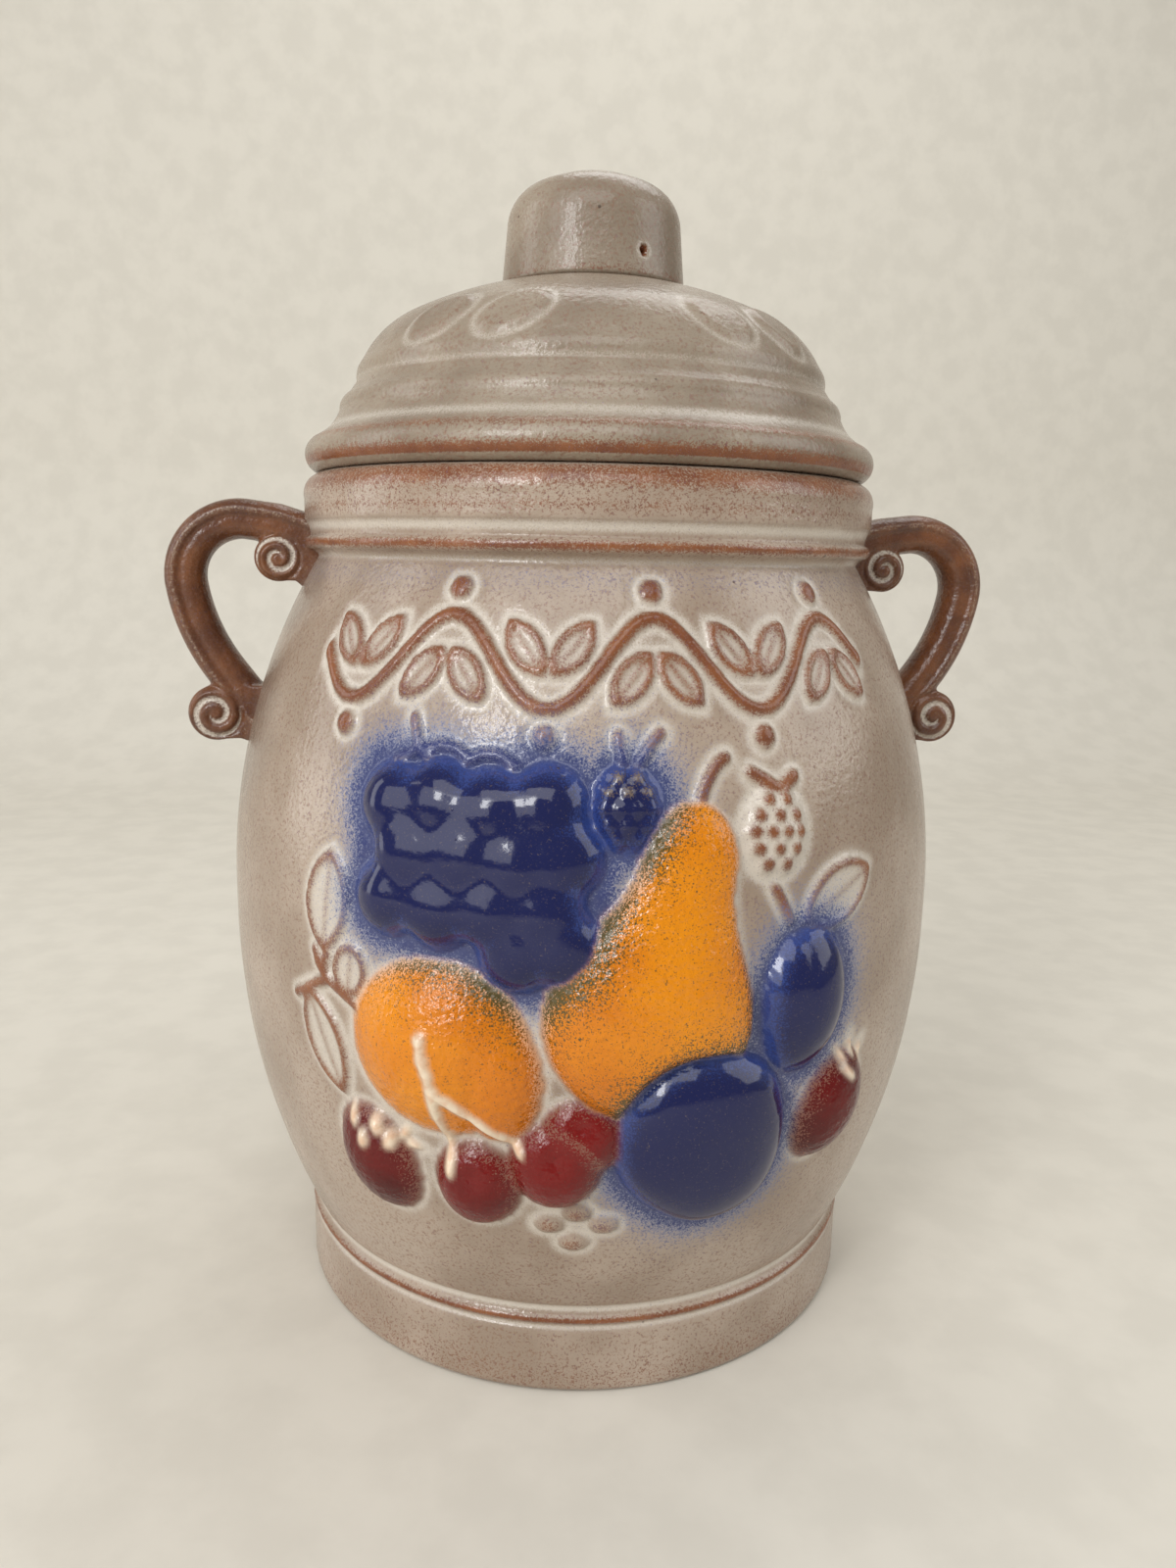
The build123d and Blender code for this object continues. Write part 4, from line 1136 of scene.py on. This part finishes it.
def strap_line():
    """Middle line of the strap as points of radius and height."""
    line = list(strap_points)
    heading = (1.0, 0.0)
    for end in strap_line_bends:
        points, heading = bend_points(line[-1], heading, end, 1.2)
        line += points
    return np.array(line)


def swept_strap(line):
    """Positions and quads of the section swept along the middle line."""
    ring = list(strap_section) + [strap_inner] + [(u, -v) for u, v in reversed(strap_section[1:])]
    ring = np.array(ring)
    rows = []
    for (x, z), (out_x, out_z) in zip(line, outline_normals(line)):
        rows.append(np.stack([x + out_x * ring[:, 0], ring[:, 1], z + out_z * ring[:, 0]], -1))
    positions = np.concatenate(rows)
    count = len(ring)
    quads = [tuple(q) for q in grid_faces(len(line), count).reshape(-1, 4).tolist()]
    quads.append(tuple(range(count)))
    quads.append(tuple(reversed(range(len(positions) - count, len(positions)))))
    return positions, quads


def swept_disc(x, z, radius, half_depth, corner):
    """Positions and faces of a short round bar across the handle with rounded edges."""
    inset = corner * 0.3
    half = [(0.0, half_depth), (radius - corner, half_depth), (radius - inset, half_depth - inset),
            (radius, half_depth - corner)]
    outline = [(r, -y) for r, y in half] + half[::-1]
    turns = np.radians(np.arange(0, 360, 7.5))
    rows = [np.stack([x + r * np.cos(turns), np.full(len(turns), y), z + r * np.sin(turns)], -1)
            for r, y in outline]
    positions = np.concatenate(rows)
    return positions, [tuple(q) for q in grid_faces(len(outline), len(turns)).reshape(-1, 4).tolist()]


def swept_plate(corners, half_depth):
    """Positions and faces of a flat plate across the handle with the given outline."""
    count = len(corners)
    front = [(x, -half_depth, z) for x, z in corners]
    back = [(x, half_depth, z) for x, z in corners]
    faces = [tuple(range(count)), tuple(reversed(range(count, 2 * count)))]
    for n in range(count):
        m = (n + 1) % count
        faces.append((m, n, n + count, m + count))
    return np.array(front + back, float), faces


def spiral_phase(x, z, spec):
    """Place of a point on a scroll's face: share of its radius, and turns across its spiral."""
    middle_x, middle_z, radius, start = spec
    reach = np.hypot(x - middle_x, z - middle_z)
    turn = np.degrees(np.arctan2(z - middle_z, x - middle_x))
    return reach / radius, reach / radius * scroll_turns + (turn - start) / 360.0


def voxel_mesh(name, parts, voxel):
    """Even mesh of the union of several closed meshes."""
    positions = []
    faces = []
    for part_positions, part_faces in parts:
        start = sum(len(p) for p in positions)
        positions.append(part_positions)
        faces += [tuple(index + start for index in face) for face in part_faces]
    mesh = bpy.data.meshes.new(name)
    mesh.from_pydata((np.concatenate(positions)).tolist(), [], faces)
    rough = bpy.data.objects.new(name, mesh)
    bpy.context.scene.collection.objects.link(rough)
    remesh = rough.modifiers.new("even", "REMESH")
    remesh.mode = "VOXEL"
    remesh.voxel_size = voxel
    smooth = rough.modifiers.new("soft", "SMOOTH")
    smooth.factor = 0.5
    smooth.iterations = 4
    graph = bpy.context.evaluated_depsgraph_get()
    even = bpy.data.meshes.new_from_object(rough.evaluated_get(graph))
    bpy.data.objects.remove(rough)
    return even


def build_handle(side):
    """Strap handle with its two scrolls."""
    line = strap_line()
    parts = [swept_strap(line)]
    for x, z, radius, _ in handle_scrolls:
        parts.append(swept_disc(x, z, radius, scroll_half_depth, scroll_edge))
    parts += [swept_plate(plate, root_half_depth) for plate in root_plates]
    even = voxel_mesh("handle", parts, handle_voxel)
    count = len(even.vertices)
    place = np.empty(count * 3)
    even.vertices.foreach_get("co", place)
    place = place.reshape(-1, 3)
    x, y, z = place.T
    # Spiral grooves in both faces of each scroll
    brown = np.full(count, 0.9)
    pool = np.zeros(count)
    on_scroll = np.zeros(count)
    for spec in handle_scrolls:
        reach, phase = spiral_phase(x, z, spec)
        face = eased(np.abs(y), 4.6, 6.2) * (reach < 1.0)
        groove = (0.5 + 0.5 * np.cos(2 * np.pi * phase)) ** 1.5
        groove = groove * eased(reach, 0.10, 0.26) * (1 - eased(reach, 0.84, 0.97))
        place[:, 1] -= np.sign(y) * face * (1.25 * groove + 0.5 * eased(reach, 0.6, 1.0))
        white = face * eased(groove, 0.25, 0.8)
        pool = np.maximum(pool, white)
        brown -= 0.62 * white
        on_scroll = np.maximum(on_scroll, face)
    gap = np.hypot(x[:, None] - line[None, :, 0], z[:, None] - line[None, :, 1])
    nearest = gap.argmin(1)
    across = ((place[:, [0, 2]] - line[nearest]) * outline_normals(line)[nearest]).sum(1)
    # Painted highlight: a pale line along the crest of the strap's bead
    bead_highlight = bump(across, bead_place, 0.55) * eased(np.abs(y), 5.2, 6.4)
    bead_highlight = bead_highlight * (gap.min(1) < 6.2) * (1 - on_scroll)
    pool = np.maximum(pool, 0.3 * bead_highlight)
    # Painted shade: the strap's face gets browner towards its inner side
    brown = brown - 0.35 * bead_highlight + 0.2 * bump(across, -1.5, 2.0)
    wall = np.hypot(x, y)
    seam = wall - wall_radius(np.clip(z, base_top, neck_height))
    seam = np.where(z > neck_height, wall - collar_radius, seam)
    pool = np.maximum(pool, 0.75 * bump(seam, 0.4, 1.0) * (1 - on_scroll))
    place[:, 0] *= side
    faces = np.empty(len(even.loops), int)
    even.loops.foreach_get("vertex_index", faces)
    faces = faces.reshape(-1, 4)
    if side < 0:
        faces = faces[:, ::-1]
    bpy.data.meshes.remove(even)
    marks = blank_marks(count, brown=np.clip(brown, 0, 1), pool=np.clip(pool, 0, 1))
    normal = np.zeros((count, 3))
    cross = np.cross(place[faces[:, 2]] - place[faces[:, 0]], place[faces[:, 3]] - place[faces[:, 1]])
    for corner in range(4):
        np.add.at(normal, faces[:, corner], cross)
    name = "handle_left" if side < 0 else "handle_right"
    handle = make_piece(name + "_glazed", place, faces, unit(normal)[faces], marks, look_of[name][0])
    finish_piece(handle, "crock", name)


build_handle(-1)
build_handle(1)

# Camera, as fitted to the photograph's rings
camera_distance = 328.7
camera_height = 202.2
camera_pitch = math.radians(11.133)
camera_yaw = math.radians(0.252)
camera_roll = math.radians(1.191)
pot_turn = math.radians(-6.5)
focal_share = 1180 / 1600
sensor_height = 36.0

forward = Vector((
    math.sin(camera_yaw) * math.cos(camera_pitch),
    math.cos(camera_yaw) * math.cos(camera_pitch),
    -math.sin(camera_pitch),
))
right = Vector((math.cos(camera_yaw), -math.sin(camera_yaw), 0))
up = right.cross(forward)
rolled_right = math.cos(camera_roll) * right + math.sin(camera_roll) * up
rolled_up = -math.sin(camera_roll) * right + math.cos(camera_roll) * up
spin = Matrix.Rotation(pot_turn, 4, "Z")
pose = Matrix((
    (rolled_right.x, rolled_up.x, -forward.x, 0),
    (rolled_right.y, rolled_up.y, -forward.y, -camera_distance * MM),
    (rolled_right.z, rolled_up.z, -forward.z, camera_height * MM),
    (0, 0, 0, 1),
))
camera_data = bpy.data.cameras.new("camera")
camera_data.sensor_fit = "VERTICAL"
camera_data.sensor_height = sensor_height
camera_data.lens = sensor_height * focal_share
camera_data.clip_start = 0.01
camera = bpy.data.objects.new("camera", camera_data)
bpy.context.scene.collection.objects.link(camera)
camera.matrix_world = spin @ pose
bpy.context.scene.camera = camera


# Floor, backdrop and lights

def plain(name, colour):
    """Matt pale material with a faint mottle."""
    n = Nodes(name)
    lighter = linear(*(value + 6 for value in colour))
    mottled = n.mix(n.ease(n.noise(40, 4), 0.35, 0.65), linear(*colour), lighter)
    n.link(mottled, n.shader.inputs["Base Color"])
    n.shader.inputs["Roughness"].default_value = 0.75
    return n.material


def sweep(name, half_width, front, bend_start, bend_radius, top, colour):
    """Floor that bends up into a backdrop behind the pot."""
    line = [(-front, 0.0), (bend_start, 0.0)]
    for turn in range(10, 100, 10):
        line.append((bend_start + bend_radius * math.sin(math.radians(turn)),
                     bend_radius * (1 - math.cos(math.radians(turn)))))
    line.append((bend_start + bend_radius, top))
    corners = [(x, y, z) for y, z in line for x in (-half_width, half_width)]
    mesh = bpy.data.meshes.new(name)
    quads = [(2 * n, 2 * n + 1, 2 * n + 3, 2 * n + 2) for n in range(len(line) - 1)]
    mesh.from_pydata(corners, [], quads)
    mesh.polygons.foreach_set("use_smooth", [True] * len(quads))
    mesh.materials.append(plain(name, colour))
    piece = bpy.data.objects.new(name, mesh)
    bpy.context.scene.collection.objects.link(piece)


sweep("floor", half_width=4.0, front=3.0, bend_start=0.62, bend_radius=0.3, top=3.0,
      colour=(214, 209, 198))

world = bpy.data.worlds.new("world")
bpy.context.scene.world = world
world.use_nodes = True
world_nodes = world.node_tree.nodes
world_nodes["Background"].inputs["Color"].default_value = linear(206, 205, 200)
world_nodes["Background"].inputs["Strength"].default_value = 0.5


def area_light(name, place, aim_height, width, height, power):
    """Soft rectangular light aimed at a height on the pot's axis."""
    data = bpy.data.lights.new(name, "AREA")
    data.shape = "RECTANGLE"
    data.size = width
    data.size_y = height
    data.energy = power
    lamp = bpy.data.objects.new(name, data)
    lamp.location = place
    aim = Vector((0, 0, aim_height)) - Vector(place)
    lamp.rotation_euler = aim.to_track_quat("-Z", "Y").to_euler()
    bpy.context.scene.collection.objects.link(lamp)


area_light("window", (-0.9, -0.85, 0.62), 0.15, 0.9, 0.9, 4.6)
area_light("window_pane", (-0.72, -0.98, 0.72), 0.14, 0.22, 0.42, 3.6)
area_light("left_strip", (-1.25, 0.15, 0.55), 0.13, 0.4, 1.2, 3.2)
area_light("front_top", (-0.3, -1.0, 1.35), 0.12, 1.5, 0.9, 9.2)
area_light("back_top", (0.3, 0.52, 1.2), 0.14, 0.9, 0.6, 3.5)
area_light("right_fill", (1.25, -0.35, 0.8), 0.13, 0.9, 1.0, 5.0)

bpy.context.scene.view_settings.view_transform = "Standard"


def corners(bounds):
    """Bounds as plain lists of numbers."""
    return [[float(value) for value in corner] for corner in bounds]
